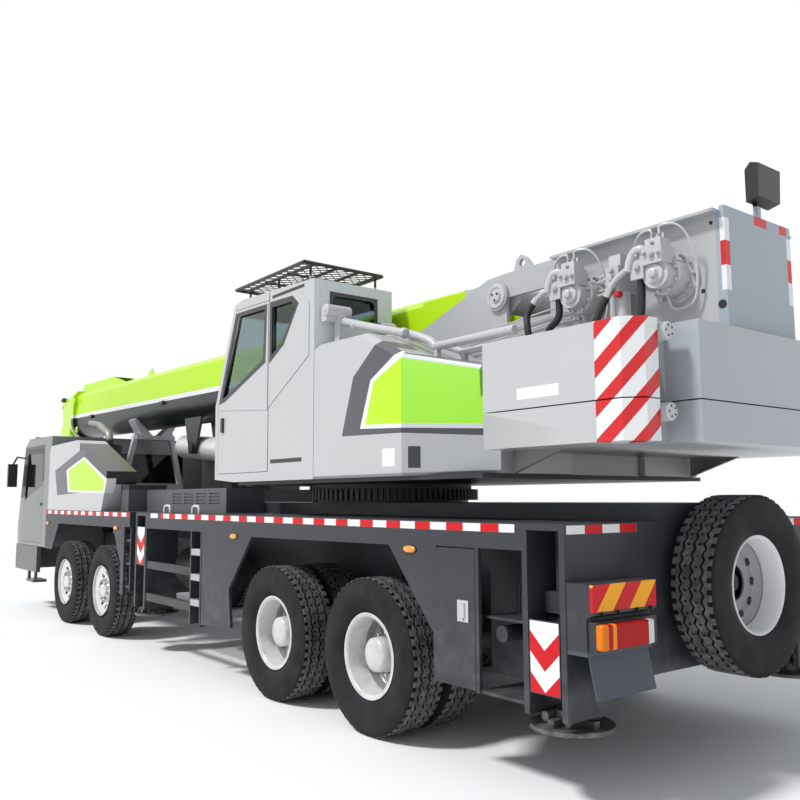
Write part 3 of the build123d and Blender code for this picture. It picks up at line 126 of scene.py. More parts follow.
# %% Shade: one material's node tree
class Shade:
    """A material whose pattern is worked out from places on the crane."""

    def __init__(self, name, colour, rough, metal=0.0, coat=0.0, **more):
        self.material = bpy.data.materials.new(name)
        self.material.use_nodes = True
        self.tree = self.material.node_tree
        self.shader = self.tree.nodes["Principled BSDF"]
        self.set(self.shader, Metallic=metal, Roughness=rough)
        self.shader.inputs["Coat Weight"].default_value = coat
        self.shader.inputs["Base Color"].default_value = (*colour, 1)
        for key, value in more.items():
            self.shader.inputs[key.replace("_", " ")].default_value = value
        self.colour = (*colour, 1)
        self.material.diffuse_color = (*colour, 1)
        where = self.tree.nodes.new("ShaderNodeTexCoord")
        self.place = where.outputs["Object"]
        parts = self.tree.nodes.new("ShaderNodeSeparateXYZ")
        self.tree.links.new(self.place, parts.inputs[0])
        self.x, self.y, self.z = parts.outputs

    def set(self, node, **values):
        for key, value in values.items():
            self.feed(node.inputs[key], value)

    def feed(self, socket, value):
        """A socket takes a link, a colour or a number."""
        if isinstance(value, bpy.types.NodeSocket):
            self.tree.links.new(value, socket)
        else:
            socket.default_value = value

    def calc(self, operation, *values):
        """One arithmetic node."""
        node = self.tree.nodes.new("ShaderNodeMath")
        node.operation = operation
        for socket, value in zip(node.inputs, values):
            self.feed(socket, value)
        return node.outputs[0]

    def over(self, a, b):
        return self.calc("GREATER_THAN", a, b)

    def aside(self):
        """Distance from the crane's middle plane."""
        return self.calc("ABSOLUTE", self.y)

    def distance(self, a, b):
        """Root of a squared plus b squared."""
        return self.calc("SQRT", self.calc("ADD", self.calc("POWER", a, 2.0), self.calc("POWER", b, 2.0)))

    def both(self, *masks):
        """1 where every mask is 1: their product."""
        product = masks[0]
        for mask in masks[1:]:
            product = self.calc("MULTIPLY", product, mask)
        return product

    def either(self, *masks):
        largest = masks[0]
        for mask in masks[1:]:
            largest = self.calc("MAXIMUM", largest, mask)
        return largest

    def within(self, value, low, high):
        return self.both(self.over(value, low), self.over(high, value))

    def cycle(self, value, period, start=0.0):
        """Where value stands in its period, from 0 to 1."""
        shifted = self.calc("SUBTRACT", value, start)
        return self.calc("FRACT", self.calc("DIVIDE", shifted, period))

    def polygon(self, u, v, corners):
        """Inside of a convex outline: left of each of its edges, taken anticlockwise."""
        points = np.array(corners, float)
        following = np.roll(points, -1, axis=0)
        area = np.sum(points[:, 0] * following[:, 1] - following[:, 0] * points[:, 1])
        if area < 0:
            points, following = following, points
        masks = []
        for (u0, v0), (u1, v1) in zip(points, following):
            du, dv = u1 - u0, v1 - v0
            across = self.calc("MULTIPLY_ADD", u, -dv, float(dv * u0 - du * v0))
            masks.append(self.over(self.calc("MULTIPLY_ADD", v, du, across), 0.0))
        return self.both(*masks)

    def noise(self, scale, detail=3.0, stretch=(1, 1, 1)):
        """Smooth random values near 0.5, finer with a larger scale."""
        turn = self.tree.nodes.new("ShaderNodeMapping")
        self.set(turn, Vector=self.place, Scale=stretch)
        node = self.tree.nodes.new("ShaderNodeTexNoise")
        self.set(node, Vector=turn.outputs[0], Scale=scale, Detail=detail)
        return node.outputs["Fac"]

    def spread(self, value, low, high, out_low=0.0, out_high=1.0):
        """Straight line from (low, out_low) to (high, out_high), held at both ends."""
        node = self.tree.nodes.new("ShaderNodeMapRange")
        for socket, number in zip(node.inputs, (value, low, high, out_low, out_high)):
            self.feed(socket, number)
        return node.outputs[0]

    def lay(self, mask, colour):
        """Paints colour over what is there already, as thickly as the mask says."""
        node = self.tree.nodes.new("ShaderNodeMix")
        node.data_type = "RGBA"
        self.feed(node.inputs["Factor"], mask)
        self.feed(node.inputs["A"], self.colour)
        self.feed(node.inputs["B"], (*colour, 1))
        self.colour = node.outputs["Result"]

    def bump(self, height, strength=0.3, distance=0.002):
        node = self.tree.nodes.new("ShaderNodeBump")
        self.set(node, Height=height, Strength=strength, Distance=distance)
        self.tree.links.new(node.outputs[0], self.shader.inputs["Normal"])

    def done(self):
        """Links the finished colour and hands the material over."""
        self.feed(self.shader.inputs["Base Color"], self.colour)
        return self.material


# %% [markdown]
# ## Paint
# Sprayed machine paint is nearly one colour, with a fine orange-peel skin, a faint drift of
# tone from panel to panel, and road dust that gathers towards the ground. The drift is
# large soft noise, the skin is fine noise fed to Bump, and the dust is a mask that fades
# with height.

# %% Paint colours and the paint maker
LIGHT_GREY = (0.52, 0.52, 0.525)
DARK_GREY = (0.042, 0.044, 0.052)
BAND_GREY = (0.075, 0.077, 0.092)
LIME = (0.50, 0.80, 0.008)
BLACK = (0.012, 0.012, 0.013)
WHITE = (0.80, 0.80, 0.80)
RED = (0.62, 0.004, 0.009)
AMBER = (0.95, 0.33, 0.01)
DUST = (0.30, 0.275, 0.24)
SATIN = {"rough": 0.42, "coat": 0.04, "gloss": 0.28}  # what the dark paints share


def paint(name, colour, rough=0.32, coat=0.25, dust=0.25, top=1.3, gloss=0.5):
    """Sprayed paint: base colour, slow drift of tone, orange-peel bump, dust below top."""
    shade = Shade(name, colour, rough, coat=coat, Coat_Roughness=0.12, Specular_IOR_Level=gloss)
    drift = shade.spread(shade.noise(1.4), 0.3, 0.7, 0.0, 0.16)
    shade.lay(drift, [0.82 * c for c in colour])
    low_down = shade.spread(shade.z, 0.25, top, dust, 0.0)
    patchy = shade.spread(shade.noise(9.0, 6.0), 0.42, 0.72)
    shade.lay(shade.both(low_down, patchy), DUST)
    shade.bump(shade.noise(220.0, 2.0), 0.06, 0.001)
    return shade


def dress(material, *nodes):
    """Puts one material on construction nodes."""
    for node in nodes:
        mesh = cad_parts[node].data
        mesh.materials.clear()
        mesh.materials.append(material)


print("paint colours ready")

# %% [markdown]
# ## Reflective tape
# Road rules ask for red and white tape along the deck's edge. Each length is 48 mm high and
# lies on the outermost face, so the mask asks for both a height and a large y. Tape squares
# alternate with x, a saw-tooth that is above or below one half.

# %% Chassis paint with tape on the deck's edge
TAPE_LOW, TAPE_HIGH = 1.444, 1.492
DECK_TAPE, WHITE_PATCH, FENDER_TAPE = (-1.501, 3.72), (3.78, 3.98), (4.62, 8.02)


def white_strip(shade, start, stop):
    """Lays plain white tape on the outermost face and hands back its mask."""
    strip = shade.both(
        shade.over(shade.aside(), SIDE - SKIN),
        shade.within(shade.z, TAPE_LOW, TAPE_HIGH),
        shade.within(shade.x, ahead(start), ahead(stop)),
    )
    shade.lay(strip, WHITE)
    return strip


def tape_along(shade, start, stop, square, red_end):
    """White tape with red squares: one red square's front is at red_end."""
    strip = white_strip(shade, start, stop)
    red = shade.over(shade.cycle(shade.x, 2 * square, ahead(red_end)), 0.5)
    shade.lay(shade.both(strip, red), RED)


deck = paint("deck_paint", DARK_GREY, **SATIN)
tape_along(deck, *DECK_TAPE, 0.1565, 1.912)
white_strip(deck, *WHITE_PATCH)
dress(deck.done(), "carrier_deck")
fenders = paint("fender_paint", DARK_GREY, **SATIN)
tape_along(fenders, *FENDER_TAPE, 0.15, FENDER_TAPE[1])
dress(fenders.done(), "front_fenders")
plain = paint("chassis_paint", DARK_GREY, **SATIN)
dress(plain.done(), "chassis_frame", "tool_door_left", "tool_door_right")
boxes = paint("deck_box_paint", DARK_GREY, **SATIN)
louvres = boxes.both(boxes.over(boxes.x, ahead(2.95)), boxes.within(boxes.z, 1.5, 1.76))
boxes.lay(louvres, (0.11, 0.115, 0.125))
dress(boxes.done(), "deck_boxes")
dark_upper = paint("upper_dark_paint", (0.035, 0.036, 0.04), **SATIN)
dress(dark_upper.done(), "turntable", "side_ladders")
print("tape from", round(ahead(DECK_TAPE[0]), 2), "to", round(ahead(FENDER_TAPE[1]), 2))

# %% [markdown]
# ## Outriggers
# The frames carry a short strip of tape at the rear, and each beam ends in a marker plate
# with red and white chevrons. A chevron is a stripe in z less the distance from the plate's
# middle line, so its two arms fall from the sides to a point.

# %% Outrigger frames, beams and jacks
rear_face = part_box("outrigger_housings")[0].x
housings = paint("outrigger_frame_paint", DARK_GREY, **SATIN)
across = housings.aside()
strip = housings.both(
    housings.over(rear_face + SKIN, housings.x),
    housings.within(housings.z, TAPE_LOW, TAPE_HIGH),
    housings.within(across, 0.755, 1.364),
)
housings.lay(strip, WHITE)
red = housings.over(housings.cycle(across, 0.304, 1.364), 0.5)
housings.lay(housings.both(strip, housings.calc("SUBTRACT", 1.0, red)), RED)
dress(housings.done(), "outrigger_housings")


def chevron_plate(name, centre, low, high, half):
    """Dark beam paint with a marker plate of chevrons between low and high."""
    shade = paint(name, DARK_GREY, **SATIN)
    outer = shade.over(shade.aside(), SIDE - SKIN)
    off = shade.calc("ABSOLUTE", shade.calc("SUBTRACT", shade.x, centre))
    plate = shade.both(outer, shade.over(half, off), shade.within(shade.z, low, high))
    shade.lay(plate, WHITE)
    fall = shade.calc("MULTIPLY_ADD", off, -0.95, shade.z)
    red = shade.over(0.5, shade.cycle(fall, 0.222, low + 0.118))
    red = shade.both(red, shade.over(high - 0.075, fall))
    shade.lay(shade.both(plate, red), RED)
    label = shade.both(outer, shade.over(0.05, off), shade.within(shade.z, high + 0.03, high + 0.1))
    shade.lay(label, (0.7, 0.7, 0.68))
    return shade.done()


for end in ("front", "rear"):
    plate_low, plate_high = (0.93, 1.345) if end == "front" else (0.58, 0.975)
    for side in ("left", "right"):
        jack_x = middle(f"jack_foot_{end}_{side}").x
        name = f"marker_{end}_{side}"
        finish = chevron_plate(name, jack_x, plate_low + 0.006, plate_high - 0.006, 0.105)
        dress(finish, f"outrigger_beam_{end}_{side}")
        print(name, "centred at", round(jack_x, 2))
float_paint = paint("float_paint", (0.045, 0.046, 0.05), rough=0.42, dust=0.8, top=0.8)
scuffs = float_paint.spread(float_paint.noise(26.0, 8.0), 0.56, 0.7)
float_paint.lay(scuffs, (0.13, 0.13, 0.13))
float_finish = float_paint.done()
for end in ("front", "rear"):
    dress(float_finish, f"jack_foot_{end}_left", f"jack_foot_{end}_right")

# %% [markdown]
# ## Light grey panels and their bands
# The machinery covers wear a lime panel with a white edge and a dark band round it. All of
# it is straight-edged, so each colour is one convex outline in x and z for the front half
# and one for the rear half, painted from the outside in, on the outer face only. The rear
# half leans away from the light, and all its colours are set a little deeper there as
# painted shade. Below the band are a blank white label and a black vent.

# %% Machinery covers
def outline(*corners):
    """Corners in shared X and z, from metres ahead of the rearmost axle and z."""
    return [(ahead(x), z) for x, z in corners]


def panel(shade, mask, shape, colour):
    """Lays a colour inside a convex outline in x and z, where the mask allows it."""
    shade.lay(shade.both(mask, shade.polygon(shade.x, shade.z, shape)), colour)


COVER_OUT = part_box("machinery_covers")[1].y
covers = paint("cover_paint", LIGHT_GREY)
outer = covers.over(covers.aside(), COVER_OUT - 0.26)
SPLIT = -0.278  # the lime panel's front and rear halves meet here
behind = covers.over(ahead(SPLIT), covers.x)
# Painted shade: behind the split, the grey on the outer face is set darker.
covers.lay(covers.both(outer, behind), (0.34, 0.35, 0.37))
band_front = outline((-0.003, 2.808), (0.32, 2.567), (0.474, 2.121), (SPLIT, 2.102), (SPLIT, 2.68))
band_rear = outline((SPLIT, 2.102), (-1.2, 2.03), (-1.2, 2.48), (SPLIT, 2.69))
white_front = outline((-0.246, 2.694), (0.094, 2.519), (0.229, 2.163), (SPLIT, 2.138), (SPLIT, 2.688))
white_rear = outline((SPLIT, 2.138), (-1.2, 2.078), (-1.2, 2.452), (SPLIT, 2.672))
lime_front = outline((SPLIT, 2.641), (0.058, 2.5), (0.162, 2.188), (SPLIT, 2.17))
lime_rear = outline((SPLIT, 2.17), (-1.2, 2.108), (-1.2, 2.43), (SPLIT, 2.641))
LABEL = outline((-0.20, 1.87), (-0.05, 1.87), (-0.05, 2.0), (-0.20, 2.0))
VENT = outline((-0.338, 2.005), (-0.45, 2.0), (-0.45, 1.85), (-0.338, 1.852))
# The rear half's band, white and lime are darker copies of the front's colours: painted shade.
for shape, colour in (
    (band_front, BAND_GREY),
    (band_rear, (0.035, 0.036, 0.045)),
    (white_front, WHITE),
    (white_rear, (0.50, 0.51, 0.53)),
    (lime_front, LIME),
    (lime_rear, (0.29, 0.66, 0.028)),
    (LABEL, WHITE),
    (VENT, BLACK),
):
    panel(covers, outer, shape, colour)
cover_finish = covers.done()
print("cover face at y =", round(COVER_OUT, 3))

# %% [markdown]
# ## Counterweight
# Red and white warning stripes wrap round its rear corners. One number that runs round the
# corner, distance back plus distance in from the side, makes the stripes join without a
# step, and z less eight tenths of that number is constant along each stripe.

# %% Counterweight with warning stripes
weight_rear = ahead(-2.27)
STRIPE_FRONT = ahead(-2.003)
weight = paint("counterweight_paint", LIGHT_GREY)
half = weight.aside()
round_corner = weight.calc("ADD", weight.x, half)
run = weight.calc("SUBTRACT", STRIPE_FRONT + WEIGHT_HALF, round_corner)
# Painted shade: the rear 0.27 m of the counterweight is set a darker, bluer grey.
weight.lay(weight.over(weight_rear + 0.27, weight.x), (0.40, 0.43, 0.46))
patch = weight.both(weight.over(run, 0.0), weight.over(half, 1.04), weight.over(STRIPE_FRONT, weight.x))
weight.lay(patch, WHITE)
stripe = weight.calc("MULTIPLY_ADD", run, -0.80, weight.z)
red = weight.over(0.45, weight.cycle(stripe, 0.214, 2.286))
weight.lay(weight.both(patch, red), RED)
label = weight.both(
    weight.over(half, WEIGHT_HALF - SKIN),
    weight.within(weight.x, ahead(-1.74), ahead(-1.41)),
    weight.within(weight.z, 2.225, 2.295),
)
weight.lay(label, (0.8, 0.8, 0.77))
dress(weight.done(), "counterweight")
print("stripes wrap from", round(STRIPE_FRONT, 2), "to the rear at", round(weight_rear, 2))

# %% [markdown]
# ## Superstructure plates, winches and pipes
# The side plates and winches are grey. The tail plate faces the rear, and its cooler, darker
# grey is painted shade; tape runs down its edges. The mirror over it has a black plastic shell.

# %% Side frames
plates = paint("side_plate_paint", (0.46, 0.465, 0.475), coat=0.15)
half = plates.aside()
tail_x = ahead(-2.30)
# Painted shade: the tail plate is set a cooler, darker grey.
plates.lay(plates.over(tail_x + 0.06, plates.x), (0.34, 0.39, 0.44))
edge = plates.both(plates.over(tail_x + 0.032, plates.x), plates.within(half, 0.335, 0.40))
edge = plates.both(edge, plates.within(plates.z, 2.86, 3.30))
top = plates.both(plates.over(tail_x + 0.004, plates.x), plates.over(plates.z, 3.315))
top = plates.both(top, plates.within(plates.y, -0.34, 0.20), plates.over(3.38, plates.z))
plates.lay(edge, WHITE)
plates.lay(plates.both(edge, plates.over(plates.cycle(plates.z, 0.30, 2.86), 0.5)), RED)
plates.lay(plates.both(top, plates.over(plates.cycle(plates.y, 0.30, 0.05), 0.5)), RED)
mirror = plates.both(plates.over(plates.z, 3.455), plates.over(ahead(-2.24), plates.x))
plates.lay(mirror, BLACK)
dress(plates.done(), "side_frames")
winch = paint("winch_paint", LIGHT_GREY, rough=0.3, coat=0.35)
drum = winch.over(0.33, winch.aside())
winch.lay(drum, (0.16, 0.15, 0.14))
dress(winch.done(), "winches")

# %% [markdown]
# ## Cabs
# The operator's cab is light grey outside and the carrier's cab a darker grey. Inside, both
# are lined in dark plastic; the mask for that is a box a little smaller than the cab's
# outside. The carrier's cab has black window frames that join its windows into one band.

# %% Operator's cab and its door
def glaze(shade, pane, tint):
    """Turns a painted door into window glass where the pane's mask is 1."""
    shade.lay(pane, tint)
    shade.feed(shade.shader.inputs["Transmission Weight"], pane)
    shade.feed(shade.shader.inputs["Roughness"], shade.spread(pane, 0.0, 1.0, 0.32, 0.02))


cab_low, cab_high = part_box("operator_cab")
CAB_SIDE = cab_high.y
CAB_REAR = cab_low.x
door_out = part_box("operator_door")[1].y  # the handle's outer face
cab = paint("operator_cab_paint", LIGHT_GREY)
inside = cab.both(
    cab.within(cab.x, cab_low.x + 0.02, ahead(2.62)),
    cab.within(cab.y, cab_low.y + 0.03, CAB_SIDE - SKIN),
    cab.within(cab.z, cab_low.z + 0.03, 3.47),
)
cab.lay(inside, (0.05, 0.05, 0.055))
# Painted light: the cab's rear wall is set a lighter, bluer grey than its sides.
cab.lay(cab.over(CAB_REAR + 0.004, cab.x), (0.70, 0.73, 0.76))
cab.lay(cab.over(cab.z, 3.53), BLACK)
outside = cab.over(cab.y, CAB_SIDE - SKIN)
for x0, x1, z0, z1 in ((1.642, 1.656, 1.88, 3.49), (1.05, 1.60, 3.425, 3.455), (1.07, 1.60, 1.95, 1.985)):
    line = cab.both(cab.within(cab.x, ahead(x0), ahead(x1)), cab.within(cab.z, z0, z1))
    cab.lay(cab.both(outside, line), BLACK)
dress(cab.done(), "operator_cab")
door = paint("operator_door_paint", LIGHT_GREY)
door.lay(door.over(door_out - 0.046, door.y), (0.04, 0.04, 0.045))
door.lay(door.over(door.y, door_out - 0.019), BLACK)  # the handle stands out furthest
DOOR_GLASS = outline((1.72, 2.48), (2.59, 2.62), (2.25, 3.39), (1.72, 3.37))
pane = door.both(
    door.within(door.y, door_out - 0.047, door_out - 0.037),
    door.polygon(door.x, door.z, DOOR_GLASS),
)
glaze(door, pane, (0.36, 0.47, 0.48))
dress(door.done(), "operator_door")
print("operator's cab from", round(cab_low.x, 2), "to", round(cab_high.x, 2))

# %% Carrier's cab
cab_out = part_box("cab_door_left")[1].y
front_cab = paint("carrier_cab_paint", (0.22, 0.226, 0.232), coat=0.1)
window_line = [(8.35, 1.93), (8.9, 1.80), (9.6, 1.66), (9.75, 1.8), (9.55, 2.47), (8.35, 2.47)]
black_band = front_cab.polygon(front_cab.x, front_cab.z, outline(*window_line))
side_face = front_cab.over(front_cab.aside(), cab_out - 0.35)
front_cab.lay(front_cab.both(black_band, side_face), BLACK)
inside = front_cab.both(
    front_cab.within(front_cab.x, ahead(8.06), ahead(9.44)),
    front_cab.within(front_cab.y, -1.25, 1.25),
    front_cab.within(front_cab.z, 1.2, 2.55),
)
front_cab.lay(inside, (0.04, 0.04, 0.045))
front_cab.lay(front_cab.over(front_cab.aside(), 1.36), BLACK)
dress(front_cab.done(), "carrier_cab")
door = paint("carrier_door_paint", (0.20, 0.206, 0.21), coat=0.1, gloss=0.3)
door_band = door.polygon(door.x, door.z, outline(*window_line))
door.lay(door_band, BLACK)
flank = door.aside()
pane = door.both(
    door.within(flank, cab_out - 0.049, cab_out - 0.039),
    door.polygon(door.x, door.z, outline((8.43, 1.86), (9.40, 1.64), (9.28, 2.36), (8.43, 2.35))),
)
glaze(door, pane, (0.035, 0.046, 0.048))
dress(door.done(), "cab_door_left", "cab_door_right")
print("carrier's cab side at", round(cab_out, 3))

# %% [markdown]
# ## Side cowls
# The cowls behind the carrier's cab repeat the lime panel and its dark band on each side.
# They are dark behind: above a line that slopes down to the rear, z less 0.361 x, and at
# their rear end.

# %% Side cowls
cowl_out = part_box("side_cowls")[1].y
cowls = paint("cowl_paint", LIGHT_GREY)
outer = cowls.over(cowls.aside(), cowl_out - 0.12)
band = outline((7.64, 2.054), (7.49, 1.705), (6.3, 1.74), (6.3, 2.30), (6.6, 2.28))
lime = outline((7.009, 2.037), (6.927, 1.771), (5.556, 1.745), (5.533, 1.882), (6.362, 2.166))
rim = outline((7.10, 2.05), (7.0, 1.745), (5.45, 1.72), (5.45, 1.90), (6.36, 2.20))
slant = cowls.calc("MULTIPLY_ADD", cowls.x, -0.361, cowls.z)
back = cowls.both(cowls.over(slant, 2.25 - 0.361 * ahead(6.45)), cowls.over(ahead(6.55), cowls.x))
back = cowls.either(back, cowls.over(ahead(5.47), cowls.x))
cowls.lay(back, (0.03, 0.031, 0.035))
for shape, colour in ((band, BAND_GREY), (rim, WHITE), (lime, LIME)):
    panel(cowls, outer, shape, colour)
dress(cowls.done(), "side_cowls")
print("cowl face at", round(cowl_out, 3))

# %% [markdown]
# ## Boom
# The base section is lime above and nearly black below, with a white line between that runs
# along the tube, and its heel is light grey. The tube tilts a little nose-up, so the line is
# a straight function of x.

# %% Boom
boom = paint("boom_paint", LIME, rough=0.3, coat=0.08, dust=0.0, gloss=0.3)
slope = (3.084 - 2.984) / (10.44 - 4.65)
line = boom.calc("MULTIPLY_ADD", boom.x, slope, 2.984 - slope * ahead(4.65))
height = boom.calc("SUBTRACT", boom.z, line)
belly = boom.both(boom.over(0.0, height), boom.over(boom.x, ahead(0.0)))
boom.lay(belly, (0.018, 0.023, 0.024))
boom.lay(boom.both(boom.within(height, 0.0, 0.06), boom.over(boom.x, ahead(0.6))), WHITE)
heel = boom.over(ahead(0.05), boom.x)
boom.lay(heel, LIGHT_GREY)
dress(boom.done(), "boom_base")
inner_boom = paint("inner_boom_paint", LIME, rough=0.28, coat=0.4, dust=0.0)
dress(inner_boom.done(), "boom_section_2", "boom_section_3", "boom_section_4")
print("boom line rises", round(slope * 1000, 1), "mm a metre")

# %% [markdown]
# ## Rods, rubber, glass and the darker parts
# A hydraulic rod is hard chrome, a hose is black rubber with a fine braid under its skin,
# and glass is a slightly green pane that lets the light through, much darker on the
# carrier's cab.

# %% Other finishes
def grained(name, colour, rough, metal, grain, strength, depth=0.001):
    """One colour under a bump; grain is the noise's scale, detail and stretch."""
    shade = Shade(name, colour, rough, metal=metal)
    shade.bump(shade.noise(*grain), strength, depth)
    return shade.done()


barrel = paint("cylinder_paint", (0.72, 0.72, 0.71), rough=0.25, coat=0.4, dust=0.0)
dress(barrel.done(), "luffing_barrel")
chrome_finish = grained("hard_chrome", (0.78, 0.78, 0.80), 0.08, 1.0, (60.0, 4.0, (0.2, 4, 4)), 0.04)
dress(chrome_finish, "luffing_rod")
hose_finish = grained("hose_rubber", (0.014, 0.014, 0.015), 0.55, 0.0, (500.0, 2.0, (1, 1, 3)), 0.2)
dress(hose_finish, "winch_hoses", "bay_hoses")
iron_finish = grained("cast_iron", (0.09, 0.09, 0.095), 0.6, 0.3, (70.0, 8.0), 0.4, 0.003)
dress(iron_finish, "engine_block", "front_axles", "rear_axles", "slewing_ring")
for axle in "12":
    dress(iron_finish, f"knuckle_{axle}_left", f"knuckle_{axle}_right")
soot = Shade("exhaust_steel", (0.03, 0.03, 0.032), 0.45, metal=0.5)
tip = soot.over(soot.z, 2.50)
soot.lay(tip, (0.30, 0.29, 0.28))
soot.bump(soot.noise(30.0, 6.0), 0.2, 0.002)
dress(soot.done(), "exhaust")
rest = paint("boom_rest_paint", (0.52, 0.53, 0.545), dust=0.0)
dress(rest.done(), "boom_rest")
bumper = paint("bumper_paint", (0.085, 0.085, 0.09), rough=0.4)
dress(bumper.done(), "front_bumper")


def tinted(name, tint, darker):
    """Window glass: a tint with soft darker streaks, as if it mirrored its surroundings."""
    shade = Shade(name, tint, 0.02, Transmission_Weight=1.0, IOR=1.35)
    streaks = shade.spread(shade.noise(3.0, 5.0, (1, 1, 3)), 0.35, 0.75, 0.0, 0.6)
    shade.lay(streaks, darker)
    return shade.done()


dress(tinted("cab_glass", (0.36, 0.47, 0.48), (0.22, 0.31, 0.33)), "operator_cab_glass")
dress(tinted("dark_glass", (0.04, 0.052, 0.055), (0.02, 0.028, 0.03)), "carrier_cab_glass")
print("rods, hoses, iron and glass dressed")

# %% [markdown]
# ## Rear lamps
# Each lamp group has a red and yellow striped board, and a flap below in a bluer grey. Both
# are masks on the construction node. The lens between them is a piece of its own, made
# further down.

# %% Rear lamps
lamp_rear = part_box("rear_lamps")[0].x
lamps = paint("lamp_bracket_paint", DARK_GREY, **SATIN)
lamps.lay(lamps.over(0.84, lamps.z), (0.075, 0.088, 0.112))
half = lamps.aside()
facing = lamps.over(lamp_rear + 0.03, lamps.x)
board = lamps.both(facing, lamps.within(lamps.z, 1.05, 1.19))
lamps.lay(board, RED)
lean = lamps.calc("MULTIPLY_ADD", lamps.z, -0.83, lamps.calc("SUBTRACT", SIDE - 0.025, half))
yellow = lamps.over(0.49, lamps.cycle(lean, 0.268, 0.012 - 0.83 * 1.05))
lamps.lay(lamps.both(board, yellow), (0.95, 0.42, 0.008))
dress(lamps.done(), "rear_lamps")
print("lamp boards at", round(lamp_rear, 3))

# %% [markdown]
# ## Meshes from arrays
# The remaining pieces are surfaces. A grid of points becomes quads between neighbouring
# points; a profile turned about an axis, a circle carried along a path and an outline
# repeated higher up are all such grids. Each helper hands back points and faces, and one
# kit joins many small shapes into a single mesh that rides on one body.

# %% Mesh helpers
def quads(rows, columns, wrap_rows=False):
    """Faces between each grid point and its next ones. Columns close into a ring."""
    i = np.arange(rows if wrap_rows else rows - 1)[:, None]
    j = np.arange(columns)[None, :]
    next_i, next_j = (i + 1) % rows, (j + 1) % columns
    corners = (i * columns + j, i * columns + next_j, next_i * columns + next_j, next_i * columns + j)
    return np.stack(np.broadcast_arrays(*corners), -1).reshape(-1, 4).tolist()


def caps(rows, columns):
    """One face over the first ring and one over the last, both facing out."""
    first = list(range(columns))[::-1]
    return [first, [(rows - 1) * columns + j for j in range(columns)]]


def turned(profile, start, axis, sides=24):
    """Profile rows (distance along the axis, radius) turned about the axis through start."""
    profile = np.array(profile, float)
    along = np.array(axis, float) / np.linalg.norm(axis)
    helper = np.eye(3)[np.argmin(np.abs(along))]
    u = np.cross(along, helper)
    u /= np.linalg.norm(u)
    v = np.cross(along, u)
    angle = np.linspace(0, 2 * pi, sides, endpoint=False)
    ring = np.cos(angle)[:, None] * u + np.sin(angle)[:, None] * v
    points = np.array(start, float) + profile[:, :1, None] * along + profile[:, 1:, None] * ring
    return points.reshape(-1, 3), quads(len(profile), sides) + caps(len(profile), sides)


def rod(a, b, radius, sides=16, edge=0.15):
    """A round bar from a to b whose end edges are rounded off."""
    a, b = np.array(a, float), np.array(b, float)
    length, cut = np.linalg.norm(b - a), edge * radius
    rows = [(0, radius - cut), (cut, radius), (length - cut, radius), (length, radius - cut)]
    return turned(rows, a, b - a, sides)


def flowing(points, count=24):
    """Catmull-Rom curve through the points: each span is a cubic set by its four nearest."""
    p = np.array(points, float)
    p = np.vstack([2 * p[0] - p[1], p, 2 * p[-1] - p[-2]])
    spans = len(p) - 3
    t = np.linspace(0, spans, count * spans + 1)
    k = np.minimum(t.astype(int), spans - 1)
    s = (t - k)[:, None]
    a, b, c, d = p[k], p[k + 1], p[k + 2], p[k + 3]
    return 0.5 * (2 * b + (c - a) * s + (2 * a - 5 * b + 4 * c - d) * s**2 + (3 * b - a - 3 * c + d) * s**3)


def tube(path, radius, sides=10):
    """A circle carried along the path, square to its direction, with closed ends."""
    path = np.array(path, float)
    along = np.gradient(path, axis=0)
    along /= np.linalg.norm(along, axis=1)[:, None]
    helper = np.eye(3)[np.argmin(np.abs(along).max(axis=0))]
    u = np.cross(along, helper)
    u /= np.linalg.norm(u, axis=1)[:, None]
    v = np.cross(along, u)
    angle = np.linspace(0, 2 * pi, sides, endpoint=False)[None, :, None]
    ring = np.cos(angle) * u[:, None] + np.sin(angle) * v[:, None]
    points = path[:, None] + radius * ring
    return points.reshape(-1, 3), quads(len(path), sides) + caps(len(path), sides)


def brick(x0, x1, y0, y1, z0, z1):
    """Rectangular slab given by its six sides: one outline at z0 and again at z1."""
    flat = [(x0, y0), (x1, y0), (x1, y1), (x0, y1)]
    points = np.array([(x, y, z) for z in (z0, z1) for x, y in flat], float)
    return points, quads(2, 4) + caps(2, 4)


def mirrored(shape):
    """The same shape on the crane's other side: y changes sign and faces turn round."""
    points, faces = shape
    return np.array(points) * (1, -1, 1), [face[::-1] for face in faces]


def both_sides(shapes):
    """The shapes, then their mirror images."""
    return shapes + [mirrored(shape) for shape in shapes]


def soften(mesh, degrees):
    """Smooth shading, except across edges sharper than the angle."""
    mesh.polygons.foreach_set("use_smooth", np.ones(len(mesh.polygons), bool))
    mesh.set_sharp_from_angle(angle=radians(degrees))


def outwards(mesh):
    """Recalculates which way each closed shell's faces look."""
    shell = bmesh.new()
    shell.from_mesh(mesh)
    bmesh.ops.recalc_face_normals(shell, faces=shell.faces)
    shell.to_mesh(mesh)
    shell.free()


def kit(name, body, material, shapes, bevel=0.0, smooth=True):
    """Joins shapes into one mesh, turns its faces outwards and hangs it on a body."""
    starts = np.cumsum([0] + [len(points) for points, _ in shapes])
    points = np.vstack([points for points, _ in shapes])
    faces = [[int(v) + int(s) for v in face] for s, (_, fs) in zip(starts, shapes) for face in fs]
    mesh = bpy.data.meshes.new(name)
    mesh.from_pydata(points.tolist(), [], faces)
    mesh.materials.append(material)
    outwards(mesh)
    if smooth:
        soften(mesh, 35)
    piece = bpy.data.objects.new(name, mesh)
    bpy.context.scene.collection.objects.link(piece)
    if bevel:
        edge = piece.modifiers.new("edges", "BEVEL")
        edge.width, edge.segments, edge.limit_method = bevel, 2, "ANGLE"
        edge.angle_limit = radians(40)
    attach(piece, body)
    print(name, "on", body, len(points), "points")
    return piece


